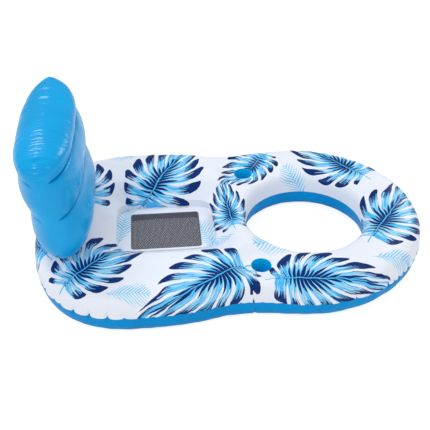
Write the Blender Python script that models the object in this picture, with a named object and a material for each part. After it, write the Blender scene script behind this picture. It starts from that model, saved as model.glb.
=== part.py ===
"""Inflatable pool chair: a two-tone air base with a leg ring, a mesh seat, two
cup wells, a hinged air backrest and three push-in air valves.

Axes: +X points from the backrest to the leg ring, +Y to the sitter's left and
+Z up. The base lies on z = 0. All lengths are in metres.
"""
import math

import bmesh
import bpy
import numpy as np
from mathutils import Matrix, Vector
from mathutils.bvhtree import BVHTree

# Clearances and film
GAP = 0.0003
FIT_GAP = 0.0006
FILM = 0.0012
BEAM_FILM = 0.0010
CUT_OVERRUN = 0.010
TINY = 1e-9
SMOOTH_ANGLE = math.radians(60.0)
HALVINGS = 50

# Outline of the base
BASE_FRONT_X = 0.8511
BASE_REAR_X = -0.8489
BODY_CENTRE_X = -0.4035
BODY_HALF_WIDTH = 0.5249
BODY_FRONT_REACH = 0.6699
BODY_POWER_SHARE = 2.49
RING_CENTRE_X = 0.3204
RING_INSET = 0.0124
WAIST_X = 0.0487
WAIST_BLEND = 0.1317

# Seat well, leg hole and the heights of the welds
SEAT_CENTRE_X = -0.2827
SEAT_HALF_LENGTH = 0.216
SEAT_HALF_WIDTH = 0.168
SEAT_POWER_SHARE = 6.0
HOLE_CENTRE_X = 0.3417
HOLE_HALF_LENGTH = 0.2619
HOLE_HALF_WIDTH = 0.2566
HOLE_POWER_SHARE = 2.0
SEAM_HEIGHT = 0.1017
HOLE_SEAM_HEIGHT = 0.0935
SEAT_WELD_HEIGHT = 0.1098

# Swell of the two base sheets
TOP_SWELL = 0.1074
TOP_KNEE = 0.075
BOTTOM_SWELL = 0.1217
BOTTOM_KNEE = 0.090

# Faces along and across the base tubes
OUTLINE_REAR_STEPS = 25
OUTLINE_FRONT_STEPS = 25
WAIST_STEPS = 10
TUBE_ROWS = 6

# Seat mesh
MESH_LENGTH = 0.308
MESH_WIDTH = 0.246
MESH_WELD_MARGIN = 0.010
MESH_THICKNESS = 0.0010
MESH_STRAND = 0.0045
MESH_GAPS_LONG = 12
MESH_GAPS_WIDE = 10
WELD_FRAME_WIDTH = 0.014
CORNER_STEPS = 5

# Cup wells
CUP_X = 0.1007
CUP_SEAM_INSET = 0.1548
CUP_RADIUS = 0.0415
CUP_FLOOR_RADIUS = 0.0360
CUP_DEPTH = 0.080
CUP_NECK = 0.014
CUP_RIM_HEIGHT = 0.165
CUP_RIM_RISE = 0.0010
CUP_LEVEL_REACH = 0.055
CUP_PULL_REACH = 0.140
CUP_SIDES = 40

# Walls that part the base into two air chambers
WALL_STEPS_FROM_WAIST = 1

# Backrest
BACK_X = -0.6855
BACK_LEAN = math.radians(6.1)
BACK_HALF_WIDTH = 0.3497
BACK_HEIGHT = 0.5238
BACK_THICKNESS = 0.2517
BACK_TOP_CORNER = 0.0536
BACK_FOOT_CORNER = 0.1280
BACK_NOTCH_SHARE = 0.1815
BACK_END_POWER_SHARE = 3.2
BACK_EDGE_POWER_SHARE = 6.5
BACK_LOWER_WELD = 0.2473
BACK_UPPER_WELD = 0.4182
BACK_ROWS_PER_CHANNEL = 5
BACK_COLUMNS = 14
HINGE_STRIP_HEIGHT = 0.008
HINGE_STRIP_HALF_LENGTH = 0.205
HINGE_STRIP_FILM = 0.0010
HINGE_STRIP_STEP = 0.010

# Air valves
FLANGE_RADIUS = 0.0150
FLANGE_THICKNESS = 0.0012
SLEEVE_RADIUS = 0.0090
SLEEVE_WALL = 0.0010
SLEEVE_LENGTH = 0.0140
STEM_BORE_RADIUS = 0.0046
STEM_RIM_THICKNESS = 0.0015
LUG_WIDTH = 0.0050
LUG_REACH = 0.0145
FLAP_THICKNESS = 0.0006
CAP_RADIUS = 0.0070
CAP_THICKNESS = 0.0016
STOPPER_TOP_RADIUS = 0.0043
STOPPER_END_RADIUS = 0.0032
STOPPER_LENGTH = 0.0060
STRAP_THICKNESS = 0.0010
STRAP_HINGE_REACH = 0.0130
VALVE_SIDES = 32
REAR_VALVE_X = -0.7759
FRONT_VALVE_Z = 0.075
BACK_VALVE_HEIGHT = 0.120

# Colours, roughness and metallic value of each finish
WHITE_FILM = ((0.86, 0.88, 0.93), 0.28)
BLUE_FILM = ((0.03, 0.36, 0.80), 0.26)
DEEP_BLUE_FILM = ((0.01, 0.24, 0.66), 0.26)
GREY_MESH = ((0.10, 0.10, 0.12), 0.75)
CLEAR_FILM = ((0.80, 0.84, 0.88), 0.20)


def clear_objects():
    """Remove every object of the open scene."""
    for item in list(bpy.data.objects):
        bpy.data.objects.remove(item, do_unlink=True)


def film_material(name, finish):
    """Return a Principled material of one colour and roughness."""
    material = bpy.data.materials.get(name)
    if material is None:
        colour, roughness = finish
        material = bpy.data.materials.new(name)
        material.use_nodes = True
        shader = material.node_tree.nodes["Principled BSDF"]
        shader.inputs["Base Color"].default_value = (*colour, 1.0)
        shader.inputs["Roughness"].default_value = roughness
        shader.inputs["Metallic"].default_value = 0.0
        material.diffuse_color = (*colour, 1.0)
    return material


def add_object(name, vertices, faces, material, parent=None, smooth=True):
    """Make a mesh object from points and faces."""
    mesh = bpy.data.meshes.new(name)
    mesh.from_pydata([tuple(map(float, point)) for point in vertices], [], faces)
    if smooth:
        mesh.shade_smooth()
        mesh.set_sharp_from_angle(angle=SMOOTH_ANGLE)
    mesh.materials.append(material)
    item = bpy.data.objects.new(name, mesh)
    bpy.context.scene.collection.objects.link(item)
    item.parent = parent
    return item


def add_empty(name, matrix, parent=None):
    """Make an empty that carries a moving piece on its joint's axis."""
    item = bpy.data.objects.new(name, None)
    bpy.context.scene.collection.objects.link(item)
    item.parent = parent
    item.matrix_local = matrix
    return item


def superellipse_reach(direction_x, direction_y, half_x, half_y, power):
    """Distance from a superellipse's centre to its edge along directions."""
    total = (np.abs(direction_x) / half_x) ** power + (np.abs(direction_y) / half_y) ** power
    return total ** (-1.0 / power)


def outline_depth(x, y):
    """Signed distance-like value of the base outline, negative inside."""
    body_half = np.where(x < BODY_CENTRE_X, BODY_CENTRE_X - BASE_REAR_X, BODY_FRONT_REACH)
    body = ((np.abs(x - BODY_CENTRE_X) / body_half) ** BODY_POWER_SHARE
            + (np.abs(y) / BODY_HALF_WIDTH) ** BODY_POWER_SHARE) ** (1.0 / BODY_POWER_SHARE)
    ring_half = BASE_FRONT_X - RING_CENTRE_X
    ring_half_width = BODY_HALF_WIDTH - RING_INSET
    ring = np.sqrt(((x - RING_CENTRE_X) / ring_half) ** 2 + (y / ring_half_width) ** 2)
    body = (body - 1.0) * BODY_HALF_WIDTH
    ring = (ring - 1.0) * ring_half_width
    mix = np.clip(0.5 + 0.5 * (ring - body) / WAIST_BLEND, 0.0, 1.0)
    return ring + (body - ring) * mix - WAIST_BLEND * mix * (1.0 - mix)


def trace_outline(centre_x, angles):
    """Points where rays from (centre_x, 0) at the angles cross the outline."""
    direction = np.stack([np.cos(angles), np.sin(angles)], axis=1)
    near = np.zeros(len(angles))
    far = np.full(len(angles), BASE_FRONT_X - BASE_REAR_X)
    for _ in range(HALVINGS):
        middle = (near + far) / 2.0
        inside = outline_depth(centre_x + middle * direction[:, 0], middle * direction[:, 1]) < 0.0
        near = np.where(inside, middle, near)
        far = np.where(inside, far, middle)
    return np.array([centre_x, 0.0]) + near[:, None] * direction


def half_width_at(x):
    """Half width of the base at a place along it."""
    near, far = 0.0, 2.0 * BODY_HALF_WIDTH
    for _ in range(HALVINGS):
        middle = (near + far) / 2.0
        if outline_depth(np.float64(x), np.float64(middle)) < 0.0:
            near = middle
        else:
            far = middle
    return near


class BasePlan:
    """Flat plan mesh of the base: one ring of stations round the seat well
    and one round the leg hole, which share the waist line."""

    def __init__(self):
        waist = half_width_at(WAIST_X)
        line = waist * np.sin(np.linspace(-math.pi / 2.0, math.pi / 2.0, WAIST_STEPS + 1))
        waist_line = np.stack([np.full_like(line, WAIST_X), line], axis=1)
        rear_angle = math.atan2(waist, WAIST_X - SEAT_CENTRE_X)
        rear_angles = np.linspace(rear_angle, 2.0 * math.pi - rear_angle, OUTLINE_REAR_STEPS + 1)
        front_angle = math.pi - math.atan2(waist, HOLE_CENTRE_X - WAIST_X)
        front_angles = np.linspace(-front_angle, front_angle, OUTLINE_FRONT_STEPS + 1)
        rear_outline = trace_outline(SEAT_CENTRE_X, rear_angles)
        front_outline = trace_outline(HOLE_CENTRE_X, front_angles)
        self.points = []
        self.line_index = [self.add_point(point) for point in waist_line]
        rear_targets = ([self.line_index[-1]] + [self.add_point(p) for p in rear_outline[1:-1]]
                        + self.line_index[:-1])
        front_targets = ([self.line_index[0]] + [self.add_point(p) for p in front_outline[1:-1]]
                         + self.line_index[:0:-1])
        self.seam_share = {k: abs(self.points[k][1]) / waist for k in self.line_index}
        self.rear = self.add_stations(rear_targets, SEAT_CENTRE_X, SEAT_HALF_LENGTH,
                                      SEAT_HALF_WIDTH, SEAT_POWER_SHARE)
        self.front = self.add_stations(front_targets, HOLE_CENTRE_X, HOLE_HALF_LENGTH,
                                       HOLE_HALF_WIDTH, HOLE_POWER_SHARE)
        self.points = np.array(self.points)
        self.quads = self.ring_quads(self.rear) + self.ring_quads(self.front)
        rear_rim = [column[-1] for column in self.rear[:OUTLINE_REAR_STEPS + 1]]
        front_rim = [column[-1] for column in self.front[:OUTLINE_FRONT_STEPS + 1]]
        self.outer_loop = rear_rim[:-1] + front_rim[:-1]
        self.seat_loop = [column[0] for column in self.rear]
        self.hole_loop = [column[0] for column in self.front]

    def add_point(self, point):
        """Store one plan point and return its number."""
        self.points.append(np.array(point, dtype=float))
        return len(self.points) - 1

    def add_stations(self, targets, centre_x, half_x, half_y, power):
        """Lay rows of points from an inner weld out to each target point."""
        centre = np.array([centre_x, 0.0])
        columns = []
        for target in targets:
            end = self.points[target]
            seam_share = self.seam_share.get(target, 1.0) ** 2
            direction = (end - centre) / np.linalg.norm(end - centre)
            start = centre + direction * superellipse_reach(*direction, half_x, half_y, power)
            column = []
            for row in range(TUBE_ROWS):
                turn = math.pi * row / TUBE_ROWS
                to_seam = (1.0 - math.cos(turn)) / 2.0
                to_crown = 1.0 - math.cos(turn / 2.0)
                along = to_crown + (to_seam - to_crown) * seam_share
                column.append(self.add_point(start + (end - start) * along))
            columns.append(column + [target])
        return columns

    @staticmethod
    def ring_quads(columns):
        """Faces between neighbouring stations, seen from above."""
        quads = []
        for this, following in zip(columns, columns[1:] + columns[:1]):
            for row in range(TUBE_ROWS):
                quads.append((this[row], this[row + 1], following[row + 1], following[row]))
        return quads


def spread_matrix(points, quads):
    """Stiffness matrix of a film over the plan, and the area at each point."""
    triangles = np.array([t for a, b, c, d in quads for t in ((a, b, c), (a, c, d))])
    matrix = np.zeros((len(points), len(points)))
    area = np.zeros(len(points))
    for turn in range(3):
        first, second, corner = (triangles[:, (turn + k) % 3] for k in range(3))
        to_first = points[first] - points[corner]
        to_second = points[second] - points[corner]
        cross = to_first[:, 0] * to_second[:, 1] - to_first[:, 1] * to_second[:, 0]
        weight = 0.5 * np.sum(to_first * to_second, axis=1) / np.abs(cross)
        np.add.at(matrix, (first, second), -weight)
        np.add.at(matrix, (second, first), -weight)
        np.add.at(matrix, (first, first), weight)
        np.add.at(matrix, (second, second), weight)
        np.add.at(area, corner, np.abs(cross) / 6.0)
    return matrix, area


def base_heights(plan):
    """Weld height of the base film and radius of its swell at every plan point."""
    matrix, area = spread_matrix(plan.points, plan.quads)
    fixed = np.zeros(len(plan.points), dtype=bool)
    weld = np.zeros(len(plan.points))
    for loop, height in ((plan.outer_loop, SEAM_HEIGHT), (plan.seat_loop, SEAT_WELD_HEIGHT),
                         (plan.hole_loop, HOLE_SEAM_HEIGHT)):
        fixed[loop] = True
        weld[loop] = height
    free = ~fixed
    inner = matrix[np.ix_(free, free)]
    weld[free] = np.linalg.solve(inner, -matrix[np.ix_(free, fixed)] @ weld[fixed])
    lift = np.zeros(len(plan.points))
    lift[free] = np.linalg.solve(inner, area[free])
    return weld, np.sqrt(2.0 * np.clip(lift, 0.0, None))


def swell_height(radius, height, knee):
    """Rise of a film over its weld: round at the edge, flatter over wide tubes."""
    return height * radius / np.sqrt(radius ** 2 + knee ** 2)


def mesh_normals(points, faces):
    """Area-weighted normals of a mesh's points."""
    normals = np.zeros_like(points)
    for face in faces:
        corners = points[list(face)]
        normal = np.zeros(3)
        for k in range(1, len(face) - 1):
            normal += np.cross(corners[k] - corners[0], corners[k + 1] - corners[0])
        for corner in face:
            normals[corner] += normal
    length = np.linalg.norm(normals, axis=1)
    return normals / np.maximum(length, TINY)[:, None]


def loop_normals(points, loop, turn_axis):
    """Outward directions of a closed loop of points, square to turn_axis."""
    ring = points[loop]
    along = np.roll(ring, -1, axis=0) - np.roll(ring, 1, axis=0)
    across = np.cross(along, turn_axis)
    return across / np.linalg.norm(across, axis=1)[:, None]


def split_quads(points, quads):
    """Split quads into triangles along their shorter diagonals."""
    triangles = []
    for a, b, c, d in quads:
        if np.linalg.norm(points[a] - points[c]) <= np.linalg.norm(points[b] - points[d]):
            triangles += [(a, b, c), (a, c, d)]
        else:
            triangles += [(a, b, d), (b, c, d)]
    return triangles


def thick_sheet(name, outer, quads, loops, loop_outward, film, material, parent=None):
    """Close an outer skin, whose quads look outwards, into an even film.

    Each loop is an open edge, which leaves the skin in its own outward
    direction. Returns the object and the outward direction at each point."""
    faces = split_quads(outer, quads)
    normals = mesh_normals(outer, faces)
    for loop, outward in zip(loops, loop_outward):
        normals[loop] = outward
    inner = outer - film * normals
    count = len(outer)
    solid_faces = [tuple(face) for face in faces]
    solid_faces += [tuple(count + k for k in reversed(face)) for face in faces]
    edges = {}
    for face in faces:
        for start, end in zip(face, face[1:] + face[:1]):
            edges[(start, end)] = True
    for start, end in edges:
        if (end, start) not in edges:
            solid_faces.append((end, start, count + start, count + end))
    item = add_object(name, np.vstack([outer, inner]), solid_faces, material, parent)
    return item, normals


def edge_normals(plan):
    """Level outward directions along the three welds of the base."""
    up = np.array([0.0, 0.0, 1.0])
    flat = np.hstack([plan.points, np.zeros((len(plan.points), 1))])
    outer = loop_normals(flat, plan.outer_loop, up)
    seat = -loop_normals(flat, plan.seat_loop, up)
    hole = -loop_normals(flat, plan.hole_loop, up)
    return [outer, seat, hole]


def cup_centre(side):
    """Plan place of a cup's axis, in from the outer seam."""
    return np.array([CUP_X, side * (half_width_at(CUP_X) - CUP_SEAM_INSET)])


def pull_level(points, heights):
    """Heights of the top film, drawn level with the rims round the two cups."""
    for side in (1.0, -1.0):
        apart = np.linalg.norm(points - cup_centre(side), axis=1)
        share = (CUP_PULL_REACH - apart) / (CUP_PULL_REACH - CUP_LEVEL_REACH)
        share = np.clip(share, 0.0, 1.0)
        share = share ** 2 * (3.0 - 2.0 * share)
        heights = heights + (CUP_RIM_HEIGHT - heights) * share
    return heights


def build_base(plan, weld, radius):
    """Top and bottom sheets of the base, welded along three seams."""
    rise = swell_height(radius, TOP_SWELL, TOP_KNEE)
    drop = swell_height(radius, BOTTOM_SWELL, BOTTOM_KNEE)
    crown = pull_level(plan.points, weld + rise + GAP / 2.0)
    top = np.column_stack([plan.points, crown])
    sunk = np.clip(weld - drop, GAP, None) - GAP
    bottom = np.column_stack([plan.points, np.minimum(sunk, weld - GAP / 2.0)])
    loops = [plan.outer_loop, plan.seat_loop, plan.hole_loop]
    outward = edge_normals(plan)
    reversed_quads = [tuple(reversed(quad)) for quad in plan.quads]
    top_item, top_normals = thick_sheet(
        "base_top_sheet", top, plan.quads, loops, outward, FILM,
        film_material("white_film", WHITE_FILM))
    bottom_item, bottom_normals = thick_sheet(
        "base_bottom_sheet", bottom, reversed_quads, loops, outward, FILM,
        film_material("deep_blue_film", DEEP_BLUE_FILM))
    return {"top": top, "top_normals": top_normals, "top_item": top_item,
            "bottom": bottom, "bottom_normals": bottom_normals, "bottom_item": bottom_item}


def skin_tree(points, quads):
    """Search tree of a skin's faces."""
    return BVHTree.FromPolygons([tuple(point) for point in points], split_quads(points, quads))


def seat_ring(plan, inset):
    """Points of the seat weld, moved inwards by an inset."""
    seat_outward = edge_normals(plan)[1]
    ring = np.hstack([plan.points[plan.seat_loop], np.zeros((len(plan.seat_loop), 1))])
    return ring + seat_outward * inset


def rounded_rectangle(half_x, half_y, corner):
    """Corner-rounded rectangle about the origin, anticlockwise."""
    points = []
    for quarter, (sign_x, sign_y) in enumerate(((1, 1), (-1, 1), (-1, -1), (1, -1))):
        for step in range(CORNER_STEPS + 1):
            turn = (quarter + step / CORNER_STEPS) * math.pi / 2.0
            points.append((sign_x * (half_x - corner) + corner * math.cos(turn),
                           sign_y * (half_y - corner) + corner * math.sin(turn)))
    return np.array(points)


def flat_plate(name, outer, opening, bottom, thickness, material):
    """A level plate with one opening, both given as rings of plan points."""
    plate = bmesh.new()
    edges = []
    for ring in (outer, opening):
        verts = [plate.verts.new((point[0], point[1], bottom)) for point in ring]
        for start, end in zip(verts, verts[1:] + verts[:1]):
            edges.append(plate.edges.new((start, end)))
    bmesh.ops.triangle_fill(plate, edges=edges, use_beauty=True)
    grown = bmesh.ops.extrude_face_region(plate, geom=plate.faces[:])
    raised = [item for item in grown["geom"] if isinstance(item, bmesh.types.BMVert)]
    bmesh.ops.translate(plate, verts=raised, vec=(0.0, 0.0, thickness))
    bmesh.ops.recalc_face_normals(plate, faces=plate.faces[:])
    mesh = bpy.data.meshes.new(name)
    plate.to_mesh(mesh)
    plate.free()
    mesh.materials.append(material)
    item = bpy.data.objects.new(name, mesh)
    bpy.context.scene.collection.objects.link(item)
    return item


def build_seat(plan):
    """Seat floor with its opening, the mesh under it and the weld frame."""
    centre = np.array([SEAT_CENTRE_X, 0.0])
    corner = WELD_FRAME_WIDTH
    floor_ring = seat_ring(plan, GAP)[:, :2]
    opening = rounded_rectangle(MESH_LENGTH / 2.0, MESH_WIDTH / 2.0, corner) + centre
    floor_bottom = SEAT_WELD_HEIGHT - FILM / 2.0
    flat_plate("seat_floor_sheet", floor_ring, opening, floor_bottom, FILM,
               film_material("white_film", WHITE_FILM))
    mesh_top = floor_bottom - GAP
    half_x = MESH_LENGTH / 2.0 + MESH_WELD_MARGIN
    half_y = MESH_WIDTH / 2.0 + MESH_WELD_MARGIN
    build_net("seat_mesh", centre, half_x, half_y, mesh_top)
    frame_outer = rounded_rectangle(half_x, half_y, corner) + centre
    frame_inner = rounded_rectangle(half_x - WELD_FRAME_WIDTH, half_y - WELD_FRAME_WIDTH,
                                    corner / 2.0) + centre
    flat_plate("mesh_weld_frame", frame_outer, frame_inner,
               mesh_top - MESH_THICKNESS - GAP - FILM, FILM,
               film_material("clear_film", CLEAR_FILM))


def strand_lines(half, margin, gaps, strand):
    """Edges of the strands and gaps of a net along one direction."""
    inner = half - margin
    pitch = (2.0 * inner - strand * (gaps - 1)) / gaps
    lines = [-half]
    for gap in range(gaps):
        start = -inner + gap * (pitch + strand)
        lines += [start, start + pitch]
    return lines + [half]


def build_net(name, centre, half_x, half_y, top):
    """A flat net: a plate with square gaps in rows, inside a plain border."""
    border = MESH_WELD_MARGIN + MESH_STRAND
    lines_x = strand_lines(half_x, border, MESH_GAPS_LONG, MESH_STRAND)
    lines_y = strand_lines(half_y, border, MESH_GAPS_WIDE, MESH_STRAND)
    net = bmesh.new()
    verts = [[net.verts.new((centre[0] + x, centre[1] + y, top)) for y in lines_y]
             for x in lines_x]
    for i in range(len(lines_x) - 1):
        for j in range(len(lines_y) - 1):
            if i % 2 == 1 and j % 2 == 1:
                continue
            net.faces.new((verts[i][j], verts[i + 1][j], verts[i + 1][j + 1], verts[i][j + 1]))
    grown = bmesh.ops.extrude_face_region(net, geom=net.faces[:])
    lowered = [item for item in grown["geom"] if isinstance(item, bmesh.types.BMVert)]
    bmesh.ops.translate(net, verts=lowered, vec=(0.0, 0.0, -MESH_THICKNESS))
    bmesh.ops.recalc_face_normals(net, faces=net.faces[:])
    mesh = bpy.data.meshes.new(name)
    net.to_mesh(mesh)
    net.free()
    mesh.materials.append(film_material("grey_mesh", GREY_MESH))
    item = bpy.data.objects.new(name, mesh)
    bpy.context.scene.collection.objects.link(item)
    return item


def turned_solid(name, profile, sides, material, matrix, parent=None, centre_closed=()):
    """Turn a closed profile of (radius, height) points about the local Z axis.

    Points on the axis, named by their places in centre_closed, are single."""
    vertices = []
    rings = []
    for place, (radius, height) in enumerate(profile):
        if place in centre_closed:
            rings.append([len(vertices)] * sides)
            vertices.append(matrix @ Vector((0.0, 0.0, height)))
            continue
        rings.append([len(vertices) + k for k in range(sides)])
        for k in range(sides):
            turn = 2.0 * math.pi * k / sides
            vertices.append(matrix @ Vector((radius * math.cos(turn),
                                             radius * math.sin(turn), height)))
    faces = []
    for this, following in zip(rings, rings[1:] + rings[:1]):
        if this[0] == this[1] and following[0] == following[1]:
            continue
        for k in range(sides):
            n = (k + 1) % sides
            corners = [this[k], this[n], following[n], following[k]]
            face = tuple(dict.fromkeys(corners))
            faces.append(face)
    return add_object(name, vertices, faces, material, parent)


def valve_place(tree, start, direction, strap_direction):
    """Place of a valve on a film: +Z outwards, +X along its strap.

    The film is met from a start point along a direction. The origin is level
    with the highest film under the flange's rim."""
    point, normal, _, _ = tree.ray_cast(Vector(start), Vector(direction))
    z_axis = normal if normal.dot(Vector(direction)) < 0.0 else -normal
    y_axis = z_axis.cross(Vector(strap_direction)).normalized()
    x_axis = y_axis.cross(z_axis)
    place = Matrix((x_axis, y_axis, z_axis)).transposed().to_4x4()
    place.translation = point
    highest = 0.0
    for k in range(VALVE_SIDES):
        turn = 2.0 * math.pi * k / VALVE_SIDES
        above = place @ Vector((FLANGE_RADIUS * math.cos(turn),
                                FLANGE_RADIUS * math.sin(turn), SLEEVE_LENGTH))
        below, _, _, _ = tree.ray_cast(above, -z_axis)
        if below is not None:
            highest = max(highest, (below - point).dot(z_axis))
    return place @ Matrix.Translation((0.0, 0.0, highest))


def cut_bore(item, matrix, radius, depth, name):
    """Cut a round bore through a sheet along the Z axis of a matrix, which is
    given in the frame of the sheet's carrier."""
    low, high = -depth, depth
    profile = [(radius, low), (radius, high), (0.0, high), (0.0, low)]
    cutter = turned_solid(name, profile, VALVE_SIDES, film_material("clear_film", CLEAR_FILM),
                          matrix, item.parent, (2, 3))
    cutter.hide_render = True
    cutter.display_type = 'WIRE'
    bore = item.modifiers.new(name, 'BOOLEAN')
    bore.operation = 'DIFFERENCE'
    bore.solver = 'EXACT'
    bore.object = cutter


def build_cup(side_name, side, sheet):
    """A cup well that hangs upright in a bore of the top sheet."""
    matrix = Matrix.Translation((*cup_centre(side), CUP_RIM_HEIGHT))
    cut_bore(sheet, matrix, CUP_RADIUS + GAP, CUP_NECK, "cup_bore_" + side_name)
    profile = [
        (CUP_RADIUS, -CUP_NECK),
        (CUP_RADIUS, CUP_RIM_RISE),
        (CUP_RADIUS - FILM, CUP_RIM_RISE),
        (CUP_RADIUS - FILM, -CUP_NECK),
        (CUP_FLOOR_RADIUS - FILM, -CUP_DEPTH + FILM),
        (0.0, -CUP_DEPTH + FILM),
        (0.0, -CUP_DEPTH),
        (CUP_FLOOR_RADIUS, -CUP_DEPTH),
    ]
    turned_solid("cup_well_" + side_name, profile, CUP_SIDES,
                 film_material("deep_blue_film", DEEP_BLUE_FILM), matrix, None, (5, 6))


def build_chamber_wall(name, column, base):
    """A film wall across the tube along one station of the base plan."""
    depth = FILM + FIT_GAP
    upper = base["top"][column] - depth * base["top_normals"][column]
    lower = base["bottom"][column] - depth * base["bottom_normals"][column]
    ring = np.vstack([upper, lower[::-1]])
    facing = np.cross(upper[-1] - upper[0], (0.0, 0.0, 1.0))
    facing /= np.linalg.norm(facing)
    ring = ring - np.outer((ring - upper[0]) @ facing, facing)
    count = len(ring)
    half = facing * BEAM_FILM / 2.0
    vertices = np.vstack([ring + half, ring - half])
    faces = [tuple(reversed(range(count))), tuple(count + k for k in range(count))]
    for k in range(count):
        n = (k + 1) % count
        faces.append((k, n, count + n, count + k))
    add_object(name, vertices, faces, film_material("clear_film", CLEAR_FILM), smooth=False)


def back_half_width(height):
    """Half width of the backrest outline at a height above its foot."""
    inset = 0.0
    for corner, reach in ((BACK_FOOT_CORNER, height), (BACK_TOP_CORNER, BACK_HEIGHT - height)):
        if reach < corner:
            inset = corner - math.sqrt(max(corner ** 2 - (corner - reach) ** 2, 0.0))
    return BACK_HALF_WIDTH - inset


def back_channels():
    """Heights of the foot, the two cross welds and the top of the backrest."""
    return [0.0, BACK_LOWER_WELD, BACK_UPPER_WELD, BACK_HEIGHT]


def back_row_heights():
    """Heights of the rows of the backrest, with a row on each weld line."""
    levels = back_channels()
    heights = []
    for number, (low, high) in enumerate(zip(levels, levels[1:])):
        for step in range(BACK_ROWS_PER_CHANNEL):
            share = step / BACK_ROWS_PER_CHANNEL
            if number == 0:
                share = 1.0 - math.cos(math.pi / 2.0 * share)
            elif number == len(levels) - 2:
                share = math.sin(math.pi / 2.0 * share)
            heights.append(low + (high - low) * share)
    return heights + [BACK_HEIGHT]


def back_half_thickness(across, height):
    """Half thickness at a share of the half width and a height."""
    levels = back_channels()
    number = max(k for k in range(len(levels) - 1) if height >= levels[k])
    middle = (levels[number] + levels[number + 1]) / 2.0
    reach = (levels[number + 1] - levels[number]) / 2.0
    bulge = 1.0 - BACK_NOTCH_SHARE * ((height - middle) / reach) ** 2
    ends = math.sqrt(max(1.0 - abs(across) ** BACK_END_POWER_SHARE, 0.0))
    level = abs(2.0 * height / BACK_HEIGHT - 1.0)
    edges = math.sqrt(max(1.0 - level ** BACK_EDGE_POWER_SHARE, 0.0))
    return BACK_THICKNESS / 2.0 * bulge * ends * edges


def back_grid(side):
    """Points of one backrest sheet: local X is forward, Y across, Z up."""
    rows = []
    for height in back_row_heights():
        half = back_half_width(height)
        row = []
        for column in range(BACK_COLUMNS + 1):
            across = -math.cos(math.pi * column / BACK_COLUMNS)
            forward = back_half_thickness(across, height) + GAP / 2.0
            row.append((side * forward, across * half, height))
        rows.append(row)
    return np.array(rows)


def back_loop(rows, columns):
    """Numbers of the edge points of a backrest grid, in order round it."""
    bottom = [column for column in range(columns)]
    right = [row * columns + columns - 1 for row in range(1, rows)]
    top = [(rows - 1) * columns + column for column in reversed(range(columns - 1))]
    left = [row * columns for row in reversed(range(1, rows - 1))]
    return bottom + right + top + left


def build_back_sheet(name, side, material, carrier):
    """One of the two outer sheets of the backrest."""
    grid = back_grid(side)
    rows, columns = grid.shape[:2]
    points = grid.reshape(-1, 3)
    faces = []
    for i in range(rows - 1):
        for j in range(columns - 1):
            a, b = i * columns + j, i * columns + j + 1
            c, d = b + columns, a + columns
            faces.append((a, b, c, d) if side > 0 else (d, c, b, a))
    loop = back_loop(rows, columns)
    outward = loop_normals(points, loop, np.array([1.0, 0.0, 0.0]))
    item, normals = thick_sheet(name, points, faces, [loop], [outward], FILM, material, carrier)
    return {"item": item, "points": points, "normals": normals, "quads": faces,
            "columns": columns}


def build_back_beam(name, row, front, rear, carrier):
    """A film strip that ties the two sheets together along a weld line."""
    depth = FILM + FIT_GAP
    columns = front["columns"]
    picked = np.arange(row * columns + 1, (row + 1) * columns - 1)
    ahead = front["points"][picked] - depth * front["normals"][picked]
    behind = rear["points"][picked] - depth * rear["normals"][picked]
    ring = np.vstack([ahead, behind[::-1]])
    ring[:, 2] = front["points"][picked[0], 2]
    count = len(ring)
    rise = np.array([0.0, 0.0, BEAM_FILM / 2.0])
    vertices = np.vstack([ring - rise, ring + rise])
    faces = [tuple(reversed(range(count))), tuple(count + k for k in range(count))]
    for k in range(count):
        n = (k + 1) % count
        faces.append((k, n, count + n, count + k))
    add_object(name, vertices, faces, film_material("clear_film", CLEAR_FILM), carrier,
               smooth=False)


def build_hinge_strip(tree, hinge_height):
    """A film strip that stands on the rear tube and carries the backrest."""
    count = int(round(2.0 * HINGE_STRIP_HALF_LENGTH / HINGE_STRIP_STEP))
    half = HINGE_STRIP_FILM / 2.0
    rows = []
    for step in range(count + 1):
        y = -HINGE_STRIP_HALF_LENGTH + step * 2.0 * HINGE_STRIP_HALF_LENGTH / count
        base = crown_height(tree, BACK_X, y) + FIT_GAP
        rows.append([(BACK_X - half, y, base), (BACK_X + half, y, base),
                     (BACK_X + half, y, hinge_height - GAP),
                     (BACK_X - half, y, hinge_height - GAP)])
    vertices = [point for row in rows for point in row]
    faces = [(0, 1, 2, 3), tuple(4 * count + k for k in (3, 2, 1, 0))]
    for step in range(count):
        first = 4 * step
        for k in range(4):
            n = (k + 1) % 4
            faces.append((first + n, first + k, first + 4 + k, first + 4 + n))
    add_object("backrest_hinge_strip", vertices, faces,
               film_material("blue_film", BLUE_FILM), smooth=False)


def crown_height(tree, x, y):
    """Height of the top sheet over a plan point."""
    start = Vector((x, y, TOP_SWELL + SEAM_HEIGHT + CUT_OVERRUN))
    point, _, _, _ = tree.ray_cast(start, Vector((0.0, 0.0, -1.0)))
    return point.z


def box_part(low, high):
    """Points and faces of a box between two corners."""
    vertices = [(x, y, z) for z in (low[2], high[2]) for y in (low[1], high[1])
                for x in (low[0], high[0])]
    faces = [(0, 2, 3, 1), (4, 5, 7, 6), (0, 1, 5, 4), (2, 6, 7, 3), (0, 4, 6, 2), (1, 3, 7, 5)]
    return vertices, faces


def join_box(item, low, high, matrix, name):
    """Fuse a box, given in the frame of a matrix, to an object."""
    vertices, faces = box_part(low, high)
    placed = [matrix @ Vector(vertex) for vertex in vertices]
    lug = add_object(name, placed, faces, item.data.materials[0], item.parent, smooth=False)
    lug.hide_render = True
    lug.display_type = 'WIRE'
    union = item.modifiers.new(name, 'BOOLEAN')
    union.operation = 'UNION'
    union.solver = 'EXACT'
    union.object = lug


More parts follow.
